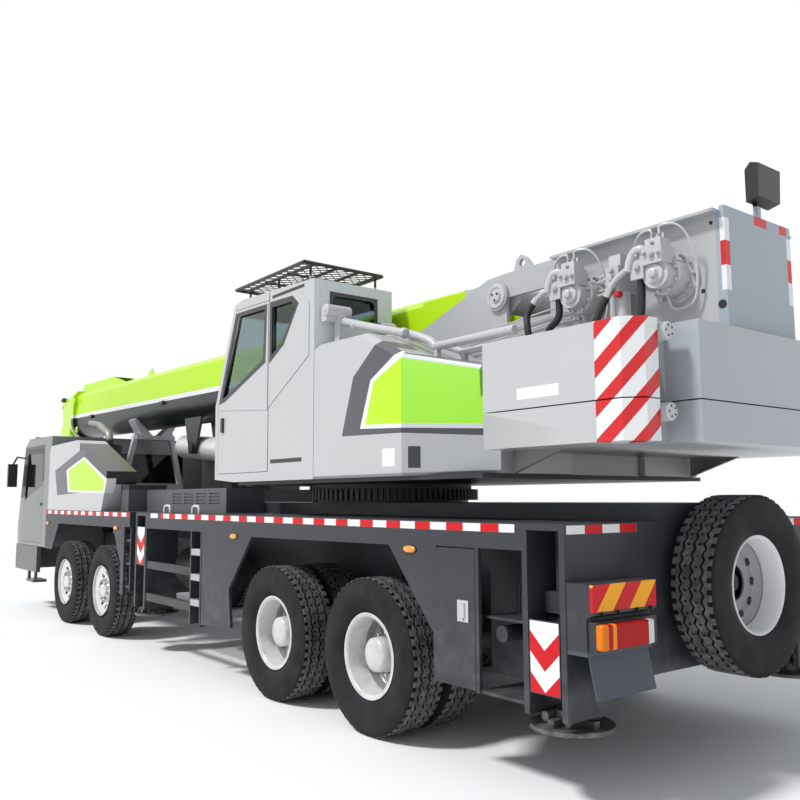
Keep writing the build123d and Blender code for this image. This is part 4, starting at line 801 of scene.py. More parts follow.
# %% [markdown]
# ## Tyres
# A truck tyre is a closed section turned about the axle. Its tread has three zigzag grooves
# with short sipes between them and slots across the shoulders. The surface is a grid: one
# way round the section, the other way round the wheel. The groove columns shift from side
# to side with the angle, and the radius is lowered between them.

# %% Tyre surface
TYRE_R = (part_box("front_wheel_1_left")[1].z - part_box("front_wheel_1_left")[0].z) / 2
SEAT_R = 0.2985  # where the tyre meets its rim
TREAD_HALF = 0.128
GROOVE = 0.015


def tyre_points(blocks=50, steps=8):
    """Grid (round the wheel, round the section, 3) of one tyre centred on the Y axis.

    Half a section: bead, flank and shoulder radii against distance from the middle plane.
    Groove centres move by a triangle wave of the angle; inside a groove the radius drops.
    """
    flank_r = np.array([SEAT_R, 0.312, 0.345, 0.39, 0.44, 0.485, 0.512, 0.528, TYRE_R - 0.008])
    flank_y = np.array([0.108, 0.122, 0.140, 0.150, 0.152, 0.147, 0.140, 0.136, 0.131])
    lanes = np.array([-0.070, 0.0, 0.070])
    across = [-TREAD_HALF, -0.118, -0.108, -0.096]
    for lane in lanes:
        across += [lane - 0.0095, lane - 0.006, lane + 0.006, lane + 0.0095, lane + 0.034, lane + 0.036]
    across = np.array(across[:-2] + [0.096, 0.108, 0.118, TREAD_HALF])
    count = blocks * steps
    angle = np.arange(count) * 2 * pi / count
    phase = (angle * blocks / (2 * pi)) % 1.0
    wave = 0.009 * (4 * np.abs(phase - 0.5) - 1)
    near = np.min(np.abs(across[:, None] - lanes[None]), axis=1)
    moves = np.where(np.abs(across) < 0.09, 1.0, 0.0)
    y_tread = across[None] + moves[None] * wave[:, None]
    drop = GROOVE * (near < 0.008)
    slot = (np.abs(across)[None] > 0.10) & (phase[:, None] < 0.26)
    sipe = (near[None] > 0.03) & (np.abs(across)[None] < 0.08) & (phase[:, None] < 0.13)
    r_tread = TYRE_R - drop[None] - 0.015 * slot - 0.009 * sipe - 0.05 * np.abs(y_tread) ** 1.9
    left = np.stack([np.broadcast_to(flank_r, (count, 9)), np.broadcast_to(-flank_y, (count, 9))], -1)
    tread = np.stack([r_tread, y_tread], -1)
    right_side = left[:, ::-1] * (1, -1)
    section = np.concatenate([left, tread, right_side], axis=1)
    radius, y = section[..., 0], section[..., 1]
    x = radius * np.cos(angle)[:, None]
    z = radius * np.sin(angle)[:, None]
    return np.stack([x, y, z], -1)


TYRE_GRID = tyre_points()
print("tyre grid", TYRE_GRID.shape[:2])

# %% [markdown]
# Rubber is dark and dull, a little greyer on the flanks, with raised rings moulded into
# them. The rings come from the distance to the axle, so the finish is made once for each
# wheel, with that wheel's own centre.

# %% Tyre rubber
def tyre_rubber(name, centre, across_y=True):
    """Black rubber with moulded rings on the flanks and a worn, greyer tread."""
    shade = Shade(name, (0.011, 0.011, 0.012), 0.7, Specular_IOR_Level=0.2)
    level, middle_level = (shade.x, centre.x) if across_y else (shade.y, centre.y)
    radius = shade.distance(
        shade.calc("SUBTRACT", level, middle_level),
        shade.calc("SUBTRACT", shade.z, centre.z),
    )
    flank = shade.within(radius, 0.30, 0.515)
    greyer = shade.both(flank, shade.spread(shade.noise(7.0, 6.0), 0.35, 0.75))
    shade.lay(greyer, (0.024, 0.025, 0.027))
    patches = shade.spread(shade.noise(18.0, 5.0), 0.3, 0.7, 0.2, 0.8)
    worn = shade.both(shade.over(radius, TYRE_R - 0.006), patches)
    shade.lay(worn, (0.20, 0.20, 0.205))
    rings = shade.calc("SINE", shade.calc("MULTIPLY", radius, 2 * pi / 0.021))
    ribs = shade.both(shade.within(radius, 0.335, 0.475), rings)
    shade.bump(shade.calc("MULTIPLY_ADD", shade.noise(120.0), 0.3, ribs), 0.35, 0.002)
    return shade.done()


def tyre_at(name, body, material, centre, turn):
    """One tyre: the grid turned by a matrix, then put at centre."""
    grid = TYRE_GRID @ np.array(turn).T
    rows, columns = grid.shape[:2]
    points = grid.reshape(-1, 3) + np.array(centre)
    mesh = bpy.data.meshes.new(name)
    mesh.from_pydata(points.tolist(), [], quads(rows, columns, wrap_rows=True))
    outwards(mesh)
    soften(mesh, 38)
    mesh.materials.append(material)
    piece = bpy.data.objects.new(name, mesh)
    bpy.context.scene.collection.objects.link(piece)
    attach(piece, body)
    return piece


# %% [markdown]
# ## Merged copies
# A construction node's mesh is loose triangles, so it shades in flat facets. A copy with its
# doubled points merged can be smooth between its sharp edges, and then stands for the node.
# The counterweight needs it for its round corners.

# %% Merged copies of construction meshes
def merged_copy(node, name, body, material=None, chosen=None):
    """Copy of a node's mesh, doubles merged; chosen(points) says which points stay."""
    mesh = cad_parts[node].data.copy()
    mesh.name = name
    shell = bmesh.new()
    shell.from_mesh(mesh)
    bmesh.ops.remove_doubles(shell, verts=shell.verts, dist=1e-5)
    if chosen:
        stays = chosen(np.array([v.co for v in shell.verts]))
        shell.verts.ensure_lookup_table()
        gone = [shell.verts[i] for i in np.flatnonzero(~stays)]
        bmesh.ops.delete(shell, geom=gone, context="VERTS")
    shell.to_mesh(mesh)
    shell.free()
    soften(mesh, 32)
    if material:
        mesh.materials.clear()
        mesh.materials.append(material)
    piece = bpy.data.objects.new(name, mesh)
    bpy.context.scene.collection.objects.link(piece)
    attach(piece, body)
    return piece


weight_copy = merged_copy("counterweight", "smooth_counterweight", "superstructure")
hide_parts("counterweight")
print("smooth counterweight", len(weight_copy.data.vertices), "points")

# %% [markdown]
# ## Rims
# The construction wheel holds a good rim already: dish, holes, nuts and hub. A merged copy
# of its mesh keeps only what lies inside the tyre's seat. The copy and the new tyre together
# stand for the construction wheel. Deep inside, nearer the crane's middle than 1.175 m, where
# so little light comes in, the rear rims' paint is darkened as painted shade.

# %% Rims copied from the construction wheels
def rim_of(node, name, body, material, centre, axis):
    """Copy of a wheel's mesh without what reaches beyond the tyre's seat."""

    def within_seat(points):
        spread = points - np.array(centre)
        spread[:, "xyz".index(axis)] = 0
        return np.linalg.norm(spread, axis=1) <= SEAT_R + 0.001

    return merged_copy(node, name, body, material, within_seat)


polished_finish = grained("polished_rim", (0.80, 0.80, 0.81), 0.13, 1.0, (40.0, 6.0), 0.05)
painted_rim = paint("painted_rim", (0.66, 0.66, 0.65), rough=0.3, dust=0.35, top=1.0)
grime = painted_rim.spread(painted_rim.noise(12.0, 7.0), 0.5, 0.75, 0.0, 0.4)
painted_rim.lay(grime, (0.32, 0.30, 0.28))
# Painted shade: the rear rims are set darker nearer the middle than 1.175 m.
disc = painted_rim.over(1.175, painted_rim.aside())
painted_rim.lay(disc, (0.27, 0.27, 0.28))
painted_finish = painted_rim.done()

# %% Wheels: every rim and tyre
WHEEL_Y = 1.220  # middle plane of the outermost tyre
PITCH = 0.345  # between the twins of one wheel
RUNNING = sorted(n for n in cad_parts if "wheel_" in n and "spare" not in n)
unturned = np.eye(3)
for node in RUNNING:
    centre = middle(node)
    outward = 1 if centre.y > 0 else -1
    front = node.startswith("front")
    finish = tyre_rubber(f"rubber_{node}", centre)
    shifts = [0.0] if front else [0.0, -PITCH]
    tyres = []
    for k, shift in enumerate(shifts):
        spot = (centre.x, outward * (WHEEL_Y + shift), centre.z)
        tyres.append(tyre_at(f"{node}_tyre_{k + 1}", node, finish, spot, unturned))
    rim_finish = polished_finish if front else painted_finish
    rim = rim_of(node, f"{node}_rim", node, rim_finish, centre, "y")
    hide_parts(node)
    for tyre in tyres:
        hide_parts(node)
print("running wheels done")

# %% [markdown]
# ## Spare wheel
# The spare hangs across the rear with its hollow side out, so one looks into a deep barrel
# with the disc far inside. The rim is one closed outline turned about the wheel's axis: lip,
# barrel, disc, hub hole and back, with painted shade deep inside. Dark studs stand in for the
# shade in the disc's ten holes.

# %% Spare wheel
SPARE = Vector((ahead(-2.07), 0.0, middle("spare_wheel").z))
BACKWARDS = (-1, 0, 0)


def ringed(profile, start, axis, sides=72):
    """A closed outline (distance along the axis, radius) turned about the axis."""
    points, _ = turned(profile, start, axis, sides)
    return points, quads(len(profile), sides, wrap_rows=True)


spare_finish = tyre_rubber("rubber_spare", SPARE, across_y=False)
end_on = [[0, 1, 0], [-1, 0, 0], [0, 0, 1]]
spare_tyre = tyre_at("spare_tyre", "carrier", spare_finish, SPARE, end_on)
lip, bed, well, disc_at = 0.118, 0.276, 0.262, -0.035
rim_outline = [
    (lip, SEAT_R), (lip + 0.004, SEAT_R - 0.007), (lip - 0.004, bed + 0.008), (lip - 0.02, bed),
    (0.03, well), (disc_at + 0.02, well - 0.003), (disc_at, well - 0.02), (disc_at - 0.02, 0.21),
    (disc_at - 0.012, 0.16), (disc_at - 0.012, 0.11), (disc_at - 0.024, 0.11),
    (disc_at - 0.03, 0.21), (disc_at - 0.01, well), (-lip, bed), (-lip, SEAT_R),
]
spare_paint = paint("spare_rim_paint", (0.82, 0.82, 0.82), rough=0.3, dust=0.1)
# Painted shade: deeper into the barrel, towards the disc, the rim is set darker.
spare_paint.lay(spare_paint.over(spare_paint.x, SPARE.x + 0.005), (0.30, 0.30, 0.31))
spare_rim = kit("spare_rim", "carrier", spare_paint.done(), [ringed(rim_outline, SPARE, BACKWARDS)])
# The dark studs and the dark plug in the hub hole are painted shade in the disc's openings.
holes = []
for k in range(10):
    turn = 2 * pi * k / 10
    spot = SPARE + Vector((-disc_at + 0.0165, 0.205 * cos(turn), 0.205 * sin(turn)))
    holes.append(rod(spot, spot + Vector((-0.004, 0, 0)), 0.026, 20))
holes.append(rod(SPARE + Vector((0.05, 0, 0)), SPARE + Vector((0.20, 0, 0)), 0.06, 24))
dark_finish = grained("hollow_dark", (0.012, 0.012, 0.014), 0.5, 0.0, (80.0, 4.0), 0.2)
spare_holes = kit("spare_holes", "carrier", dark_finish, holes)
for piece in (spare_tyre, spare_rim, spare_holes):
    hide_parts("spare_wheel")
print("spare wheel at", [round(v, 2) for v in SPARE])

# %% [markdown]
# ## Wheel nuts
# Ten nuts hold each front rim, each on a long stud that stands well out of the bright dish.
# Rear rims sit deeper and have shorter nuts. Their finish is bright steel. A bright trim
# ring closes the step between each front rim and its tyre.

# %% Wheel nuts
bright_finish = grained("bright_steel", (0.62, 0.62, 0.63), 0.22, 1.0, (90.0, 4.0), 0.08)
TRIM_RING = [(0.095, 0.298), (0.135, 0.303), (0.148, 0.298), (0.144, 0.290), (0.10, 0.281), (0.09, 0.290)]
for node in RUNNING:
    centre = middle(node)
    outward = 1 if centre.y > 0 else -1
    front = node.startswith("front")
    pitch, root, reach = (0.125, 0.075, 0.062) if front else (0.148, -0.064, 0.034)
    nuts = []
    for k in range(10):
        turn = 2 * pi * k / 10 + pi / 2
        x, z = centre.x + pitch * cos(turn), centre.z + pitch * sin(turn)
        y = outward * (WHEEL_Y + root)
        nuts.append(rod((x, y, z), (x, y + outward * reach, z), 0.0145, 12, 0.2))
        nuts.append(rod((x, y, z), (x, y + outward * reach * 0.35, z), 0.021, 6, 0.1))
    if front:
        hub = (centre.x, outward * WHEEL_Y, centre.z)
        nuts.append(ringed(TRIM_RING, hub, (0, outward, 0)))
    kit(f"{node}_nuts", node, bright_finish, nuts)

# %% [markdown]
# ## Machinery covers
# Each cover is pressed from sheet. Seen from above, its side runs straight back from the cab
# and then leans inwards behind a vertical crease. Its roof falls to the rear in two slopes
# and then drops in a step.
# The surface is a row of stations along X. Every station is the same closed section in y
# and z, with the top height and the side's y worked out from x.

# %% Machinery covers with the crease
COVER_IN = 0.41
ROOF = [(-1.11, 2.345), (-0.95, 2.345), (-0.946, 2.53), (-0.279, 2.68), (0.193, 2.897), (0.887, 2.906)]
CREASE, LEAN = -0.28, 0.20


def cover_station(x):
    """Closed section at x: side, chamfer and top. The side leans in behind the crease."""
    side = COVER_OUT - LEAN * max(0.0, CREASE - x)
    top = np.interp(x, *zip(*ROOF))
    lift = 0.012 * (x > CREASE)
    ys = [COVER_IN, side - 0.02, side, side, side - 0.035 - lift, COVER_IN]
    zs = [UPPER_LOW, UPPER_LOW, UPPER_LOW + 0.02, top - 0.05, top, top]
    return np.stack([np.full(6, ahead(x)), ys, zs], -1)


stations = np.array([cover_station(x) for x in (-1.10, -0.951, -0.946, -0.299, CREASE, 0.193, 0.887)])
cover = (stations.reshape(-1, 3), quads(len(stations), 6) + caps(len(stations), 6))
PIPES = ((0.95, 2.745, 0.032, -0.285), (0.85, 2.69, 0.026, -0.47))  # y, z, radius, front
weight_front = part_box("counterweight")[1].x
shapes = [cover]
for y, z, radius, front_end in PIPES:
    shapes.append(rod((weight_front + 0.001, y, z), (ahead(front_end), y, z), radius, 24))
    stay = ahead(front_end - 0.04)
    shapes.append(brick(stay - 0.02, stay + 0.02, y - 0.02, y + 0.02, z - 0.26, z))
covers_new = kit("pressed_covers", "superstructure", cover_finish, both_sides(shapes), 0.006)
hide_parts("machinery_covers")

# %% [markdown]
# ## Window surrounds
# Three windows of the operator's cab have a black enamel frame. On the side windows its
# shape is not the opening's: its lower edge climbs towards the back. Each surround is a thin
# plate with a hole. Two outlines with equally many corners, one for the hole and one for the
# plate, give four rings of points, and quads between neighbouring rings close the shape.

# %% Window surrounds on the operator's cab
def holed_plate(hole, edge, axis, low, high):
    """Plate between two outlines with equally many corners, from low to high on the axis."""
    order = {"x": (1, 2), "y": (0, 2)}[axis]
    rings = np.zeros((4, len(hole), 3))
    for ring, flat, level in zip(rings, (edge, hole, hole, edge), (high, high, low, low)):
        ring[:, order[0]], ring[:, order[1]] = np.array(flat, float).T
        ring[:, "xyz".index(axis)] = level
    return rings.reshape(-1, 3), quads(4, len(hole), wrap_rows=True)


ENAMEL = (0.02, 0.021, 0.024)


def surround_paint(name, flat):
    """Light grey plate that turns to black enamel inside an outline in x and z."""
    shade = paint(name, LIGHT_GREY)
    shade.lay(shade.polygon(shade.x, shade.z, flat), ENAMEL)
    return shade.done()


door_frame = outline((2.30, 3.412), (2.632, 2.556), (2.49, 2.578), (1.70, 2.86), (1.68, 3.395))
door_hole = outline((2.262, 3.37), (2.552, 2.61), (2.49, 2.625), (1.748, 2.895), (1.728, 3.355))
door_edge = outline((2.295, 3.42), (2.636, 2.556), (2.60, 2.50), (1.662, 2.43), (1.662, 3.40))
kit(
    "door_window_surround", "operator_door",
    surround_paint("door_surround_paint", door_frame),
    [holed_plate(door_hole, door_edge, "y", CAB_SIDE + GAP, CAB_SIDE + 0.006)], 0.002, False,
)
quarter_frame = outline((1.632, 3.40), (1.235, 3.385), (1.13, 3.30), (1.375, 2.975), (1.632, 2.84))
quarter_hole = outline((1.592, 3.345), (1.255, 3.335), (1.185, 3.275), (1.40, 3.02), (1.592, 2.91))
quarter_edge = outline((1.64, 3.405), (1.10, 3.39), (0.965, 3.27), (0.965, 2.83), (1.64, 2.45))
kit(
    "quarter_window_surround", "superstructure",
    surround_paint("quarter_surround_paint", quarter_frame),
    [holed_plate(quarter_hole, quarter_edge, "y", CAB_SIDE + GAP, CAB_SIDE + 0.006)], 0.002, False,
)


def rounded(centre, half, power, count=48):
    """Superellipse: the higher the power, the squarer the corners."""
    t = np.arange(count) * 2 * pi / count
    c, s = np.cos(t), np.sin(t)
    shrink = (np.abs(c) ** power + np.abs(s) ** power) ** (-1 / power)
    return np.stack([centre[0] + half[0] * c * shrink, centre[1] + half[1] * s * shrink], -1)


rear_hole = rounded((0.85, 3.238), (0.215, 0.108), 7)
rear_edge = rounded((0.845, 3.16), (0.345, 0.225), 60)
# Painted light: the plate round the rear window takes the lighter, bluer grey of the cab's rear wall.
rear_paint = paint("rear_surround_paint", (0.70, 0.73, 0.76))
frame_band = rear_paint.both(
    rear_paint.within(rear_paint.y, 0.60, 1.10), rear_paint.within(rear_paint.z, 3.098, 3.378)
)
rear_paint.lay(frame_band, ENAMEL)
kit(
    "rear_window_surround", "superstructure", rear_paint.done(),
    [holed_plate(rear_hole[::-1], rear_edge[::-1], "x", CAB_REAR - 0.006, CAB_REAR - GAP)], 0.002, False,
)

# %% [markdown]
# ## Pipes behind the cab
# Two pipes slope from the cab's rear wall down to the pipes on the machinery cover. The
# same grey covers the two lugs on the wall, their bosses and the post under the outer one.

# %% Lug, post and pipes
grey_finish = paint("fitting_paint", (0.56, 0.56, 0.57), rough=0.28, coat=0.4).done()
lug_x = CAB_REAR - 0.05
fittings = [
    brick(lug_x - 0.05, CAB_REAR - GAP, 1.00, 1.19, 3.10, 3.21),
    rod((lug_x - 0.045, 0.96, 3.19), (lug_x - 0.045, 1.205, 3.19), 0.05, 28),
    rod((lug_x - 0.045, 0.95, 3.19), (lug_x - 0.045, 1.213, 3.19), 0.022, 20),
    brick(lug_x - 0.09, lug_x - 0.02, 1.02, 1.09, 2.86, 3.16),
    brick(CAB_REAR - 0.07, CAB_REAR - GAP, 0.47, 0.60, 3.06, 3.17),
    rod((CAB_REAR - 0.06, 0.46, 3.12), (CAB_REAR - 0.06, 0.615, 3.12), 0.045, 24),
    rod((CAB_REAR - 0.06, 0.45, 3.12), (CAB_REAR - 0.06, 0.623, 3.12), 0.02, 16),
]
kit("cab_lugs", "superstructure", grey_finish, fittings, 0.006)
slope_pipe = [(lug_x, 1.055, 3.13), (ahead(0.35), 1.02, 2.985), (ahead(-0.03), 0.98, 2.88),
              (ahead(-0.24), 0.955, 2.80), (ahead(-0.31), 0.95, 2.745)]
lower_pipe = [(CAB_REAR - 0.02, 0.80, 2.955), (ahead(0.3), 0.80, 2.935), (ahead(-0.2), 0.83, 2.79),
              (ahead(-0.50), 0.85, 2.69)]
pipes = [tube(flowing(slope_pipe), 0.032, 20), tube(flowing(lower_pipe), 0.024, 16)]
for x, z in ((0.62, 3.055), (-0.03, 2.88)):
    pipes.append(rod((ahead(x + 0.02), 1.03, z + 0.006), (ahead(x - 0.02), 1.022, z - 0.006), 0.042, 20))
kit("sloping_pipes", "superstructure", grey_finish, pipes)

# %% [markdown]
# ## Roof guard
# Expanded metal lies on the guard's bars: a net of diamonds, which is two families of thin
# slanting rods. A round rail runs along its four edges.

# %% Expanded metal on the roof guard
black_finish = paint("black_enamel", BLACK, rough=0.3, dust=0.0).done()
rack_z = cab_high.z - 0.016
y0, y1, x0, x1 = 0.50, 1.29, 0.98, 2.20
mesh_rods = []
for start in np.arange(x0 - (y1 - y0), x1, 0.10):
    for flip in (1, -1):
        t = np.clip(np.array([x0 - start, x1 - start]), 0.0, y1 - y0)
        if t[1] - t[0] < 0.02:
            continue
        ys = (y0 + t) if flip > 0 else (y1 - t)
        a = (ahead(start + t[0]), ys[0], rack_z)
        b = (ahead(start + t[1]), ys[1], rack_z)
        mesh_rods.append(rod(a, b, 0.0045, 6))
corners = [(0.97, 0.49), (2.21, 0.49), (2.21, 1.30), (0.97, 1.30), (0.97, 0.49)]
for (xa, ya), (xb, yb) in zip(corners, corners[1:]):
    mesh_rods.append(rod((ahead(xa), ya, rack_z), (ahead(xb), yb, rack_z), 0.016, 12))
kit("roof_guard_mesh", "superstructure", black_finish, mesh_rods)

# %% [markdown]
# ## Winch drives
# Each hydraulic motor has a bolted flange, valve blocks with plugs, bent steel pipes and
# thick hoses with crimped silver ends. The pipes are smooth curves through a few points with
# a circle carried along them. All hang on the superstructure.

# %% Winch motors, valves and pipes
FRONT_WINCH, REAR_WINCH, WINCH_Z, DRIVE_Y = -1.29, -1.96, 2.99, 0.385
silver_finish = grained("zinc_fitting", (0.55, 0.56, 0.57), 0.3, 0.85, (120.0, 4.0), 0.15)
valves, bright_bits, thin_pipes, hoses = [], [], [], []


def on_drive(at, *offsets):
    """Places given from the middle of a drive's mounting face."""
    return [Vector((at + x, DRIVE_Y + y, WINCH_Z + z)) for x, y, z in offsets]


def bolt_ring(into, at, count, pitch, y, length, size, shift=0.0):
    """Hexagon bolts spaced evenly on a circle round a drive's shaft."""
    for k in range(count):
        turn = 2 * pi * (k + shift) / count
        (bolt,) = on_drive(at, (pitch * cos(turn), y, pitch * sin(turn)))
        into.append(rod(bolt, bolt + Vector((0, length, 0)), size, 6, 0.1))


# Offsets from the drive: x, y and z from and to of each valve block.
VALVE_BLOCKS = (
    (-0.055, 0.055, 0.13, 0.235, 0.165, 0.22),
    (0.085, 0.16, 0.15, 0.22, 0.105, 0.17),
    (0.02, 0.09, 0.02, 0.12, 0.13, 0.21),
)
# Offset and radius of each plug.
PLUGS = (
    (0.0, 0.25, 0.115, 0.020), (-0.05, 0.25, 0.115, 0.014), (0.05, 0.25, 0.13, 0.014),
    (0.12, 0.23, 0.06, 0.022), (0.0, 0.235, 0.19, 0.013), (0.12, 0.22, 0.135, 0.012),
)
FLANGE = [(0.0, 0.10), (0.02, 0.10), (0.028, 0.112), (0.05, 0.112), (0.055, 0.09)]
MOTOR_END = [(0.0, 0.06), (0.015, 0.058), (0.02, 0.03), (0.045, 0.028), (0.05, 0.02)]
ELBOW = (
    (0.06, 0.20, 0.15), (0.10, 0.215, 0.175), (0.145, 0.22, 0.165), (0.175, 0.225, 0.11), (0.19, 0.225, 0.05),
)
LOOPS = (
    ((-0.02, 0.19, 0.25), (-0.03, 0.19, 0.30), (-0.12, 0.16, 0.29), (-0.17, 0.11, 0.20),
     (-0.185, 0.06, 0.02), (-0.15, 0.05, -0.17), (-0.02, 0.06, -0.20), (0.01, 0.09, -0.11)),
    ((0.03, 0.19, 0.25), (0.04, 0.20, 0.285), (0.12, 0.19, 0.28), (0.20, 0.14, 0.22),
     (0.24, 0.07, 0.10), (0.30, 0.03, 0.08)),
)
for x in (FRONT_WINCH, REAR_WINCH):
    at = ahead(x)
    bolt_ring(bright_bits, at, 12, 0.145, 0.044, 0.014, 0.011)
    bolt_ring(valves, at, 8, 0.100, 0.13, 0.02, 0.012, 0.5)
    flange_at, end_at = on_drive(at, (0, 0.07, 0), (0, 0.215, 0))
    valves.append(turned(FLANGE, flange_at, (0, 1, 0), 48))
    valves.append(turned(MOTOR_END, end_at, (0, 1, 0), 32))
    for x0, x1, y0, y1, z0, z1 in VALVE_BLOCKS:
        ends = (at + x0, at + x1, DRIVE_Y + y0, DRIVE_Y + y1, WINCH_Z + z0, WINCH_Z + z1)
        valves.append(brick(*ends))
    for dx, dy, dz, size in PLUGS:
        root, head, tip = on_drive(at, (dx, dy, dz), (dx, dy + 0.02, dz), (dx, dy + 0.026, dz))
        bright_bits.append(rod(root, head, size, 6, 0.12))
        bright_bits.append(rod(head, tip, size * 0.55, 6, 0.1))
    for dx in (-0.04, 0.0, 0.04):
        root, tip = on_drive(at, (dx, 0.18, 0.218), (dx, 0.18, 0.253))
        bright_bits.append(rod(root, tip, 0.012, 6, 0.15))
    valves.append(tube(flowing(on_drive(at, *ELBOW)), 0.028, 16))
    for loop in LOOPS:
        thin_pipes.append(tube(flowing(on_drive(at, *loop), 12), 0.0075, 8))

# %% Pipes between the drives, and the hoses
front_at, rear_at = ahead(FRONT_WINCH), ahead(REAR_WINCH)
for dy, z in ((0.05, 3.07), (0.07, 3.035), (0.05, 3.16), (0.08, 3.12)):
    y = DRIVE_Y + dy
    run = [
        (rear_at + 0.16, y, z), (rear_at + 0.27, y, z + 0.035), (rear_at + 0.35, y, z + 0.02),
        (front_at - 0.28, y, z - 0.01), (front_at - 0.2, y + 0.02, z - 0.05),
        (front_at - 0.13, y + 0.02, z - 0.06),
    ]
    thin_pipes.append(tube(flowing(run, 10), 0.008, 8))
for z, rise in ((2.86, 0.02), (2.90, 0.03), (2.945, 0.04)):
    y = DRIVE_Y + 0.05
    run = [
        (front_at + 0.13, y, z + rise), (front_at + 0.45, y - 0.005, z + rise / 2),
        (ahead(0.1), y, z - 0.06), (ahead(0.55), y, z - 0.13),
    ]
    thin_pipes.append(tube(flowing(run, 10), 0.0065, 8))
tap_x = ahead(-1.61)
valves.append(brick(tap_x - 0.045, tap_x + 0.045, DRIVE_Y + 0.02, DRIVE_Y + 0.15, 3.12, 3.20))
for dx, dy, top, radius, sides in ((-0.02, 0.10, 2.96, 0.05, 24), (0.07, 0.08, 3.02, 0.026, 20)):
    foot = (tap_x + dx, DRIVE_Y + dy, 2.60)
    valves.append(rod(foot, (foot[0], foot[1], top), radius, sides))
for dz in (0.0, 0.055, 0.11):
    spot = Vector((tap_x, DRIVE_Y + 0.18, 2.98 + dz))
    bright_bits.append(rod(spot, spot + Vector((0, 0.03, 0)), 0.018, 6, 0.15))
HOSE_R, HOSE_Y = 0.024, DRIVE_Y + 0.185
# Metres ahead of the rearmost axle, out from the hoses' plane, and height.
HOSE_RUNS = (
    ((-0.93, 0.04, 2.70), (-0.915, 0.05, 2.82), (-0.90, 0.03, 2.93), (-0.97, 0.0, 3.03),
     (-1.07, -0.01, 3.08)),
    ((-1.11, 0.045, 2.57), (-1.3, 0.05, 2.62), (-1.47, 0.05, 2.72), (-1.55, 0.03, 2.86), (-1.64, 0.01, 3.01),
     (-1.78, 0.0, 3.09)),
)
for run in HOSE_RUNS:
    path = flowing([(ahead(x), HOSE_Y + y, z) for x, y, z in run])
    joint = int(len(path) * 0.72)
    hoses.append(tube(path[: joint + 1], HOSE_R, 18))
    bright_bits.append(tube(path[joint - 6 : joint + 4], HOSE_R + 0.005, 18))
    valves.append(tube(path[joint:], HOSE_R - 0.003, 18))
kit("winch_valves", "superstructure", grey_finish, valves, 0.004)
kit("winch_bolts", "superstructure", silver_finish, bright_bits)
kit("winch_thin_pipes", "superstructure", grey_finish, thin_pipes)
kit("extra_hoses", "superstructure", hose_finish, hoses)
red_finish = grained("red_plastic", (0.55, 0.01, 0.02), 0.35, 0.0, (50.0,), 0.05)
spot = Vector((tap_x - 0.04, DRIVE_Y + 0.15, 2.93))
cap = rod(spot, spot + Vector((0, 0.05, 0)), 0.022, 20, 0.3)
kit("red_cap", "superstructure", red_finish, [cap])

# %% [markdown]
# ## Pivot caps, counterweight pins and plate holes
# The boom's pivot pin ends in a round cap with three bolts on each side plate. The
# counterweight's four pins have a ring of small dark bolts. Round holes in the side plates
# look like dark discs from outside, and are made as such discs of painted shade.

# %% Pivot caps, pins and holes
PIVOT = (-0.40, 3.18)
PLATE_Y = 0.385
caps_made, dots = [], []
CAP_ROWS = [
    (0.0, 0.095), (0.006, 0.095), (0.012, 0.088), (0.012, 0.07),
    (0.004, 0.064), (0.004, 0.05), (0.018, 0.046), (0.02, 0.02),
]
PIN_ROWS = [(0.0, 0.050), (0.004, 0.050), (0.010, 0.044), (0.010, 0.020)]
caps_made.append(turned(CAP_ROWS, (ahead(PIVOT[0]), PLATE_Y + 0.030, PIVOT[1]), (0, 1, 0), 56))
for k in range(3):
    turn = 2 * pi * k / 3 + pi / 6
    spot = Vector((ahead(PIVOT[0]) + 0.03 * cos(turn), PLATE_Y + 0.048, PIVOT[1] + 0.03 * sin(turn)))
    dots.append(rod(spot, spot + Vector((0, 0.008, 0)), 0.009, 6, 0.1))
# Painted shade: dark discs stand for the round holes in the side plates.
for x, z, radius in ((-2.142, 2.878, 0.014), (-2.213, 3.285, 0.012), (-2.265, 2.777, 0.026)):
    dots.append(rod((ahead(x), PLATE_Y, z), (ahead(x), PLATE_Y + 0.0015, z), radius, 24))
pin_y = 0.988
for z in (2.10, 2.54):
    centre = Vector((ahead(-2.295), pin_y, z))
    caps_made.append(turned(PIN_ROWS, centre, BACKWARDS, 40))
    for k in range(5):
        turn = 2 * pi * k / 5
        spot = centre + Vector((-0.010, 0.030 * cos(turn), 0.030 * sin(turn)))
        dots.append(rod(spot, spot + Vector((-0.003, 0, 0)), 0.006, 12))
kit("pin_caps", "superstructure", grey_finish, both_sides(caps_made))
kit("dark_holes", "superstructure", dark_finish, both_sides(dots))

# %% [markdown]
# ## Small parts of the carrier
# Amber side markers, lifting eyes bent from round bar, bright treads on the ladder, tail
# lamps and a latch on each tool door. Each set is mirrored to the other side.

# %% Markers, lifting eyes, treads, lamps and latches
amber = Shade("amber_lens", AMBER, 0.12, coat=0.6)
amber.bump(amber.calc("SINE", amber.calc("MULTIPLY", amber.x, 900.0)), 0.15, 0.001)
MARKER_ROWS = [(0.0, 0.028), (0.010, 0.028), (0.018, 0.022), (0.021, 0.008)]
BEZEL_ROWS = [(0.0, 0.033), (0.006, 0.033), (0.008, 0.030)]


def oval(rows, x, wide):
    """Profile turned about Y, made wide along X and a little low, on the skirt at x."""
    points, faces = turned(rows, (0, 0, 0), (0, 1, 0), 32)
    return points * (wide, 1, 0.85) + np.array([ahead(x), SIDE, 1.31]), faces


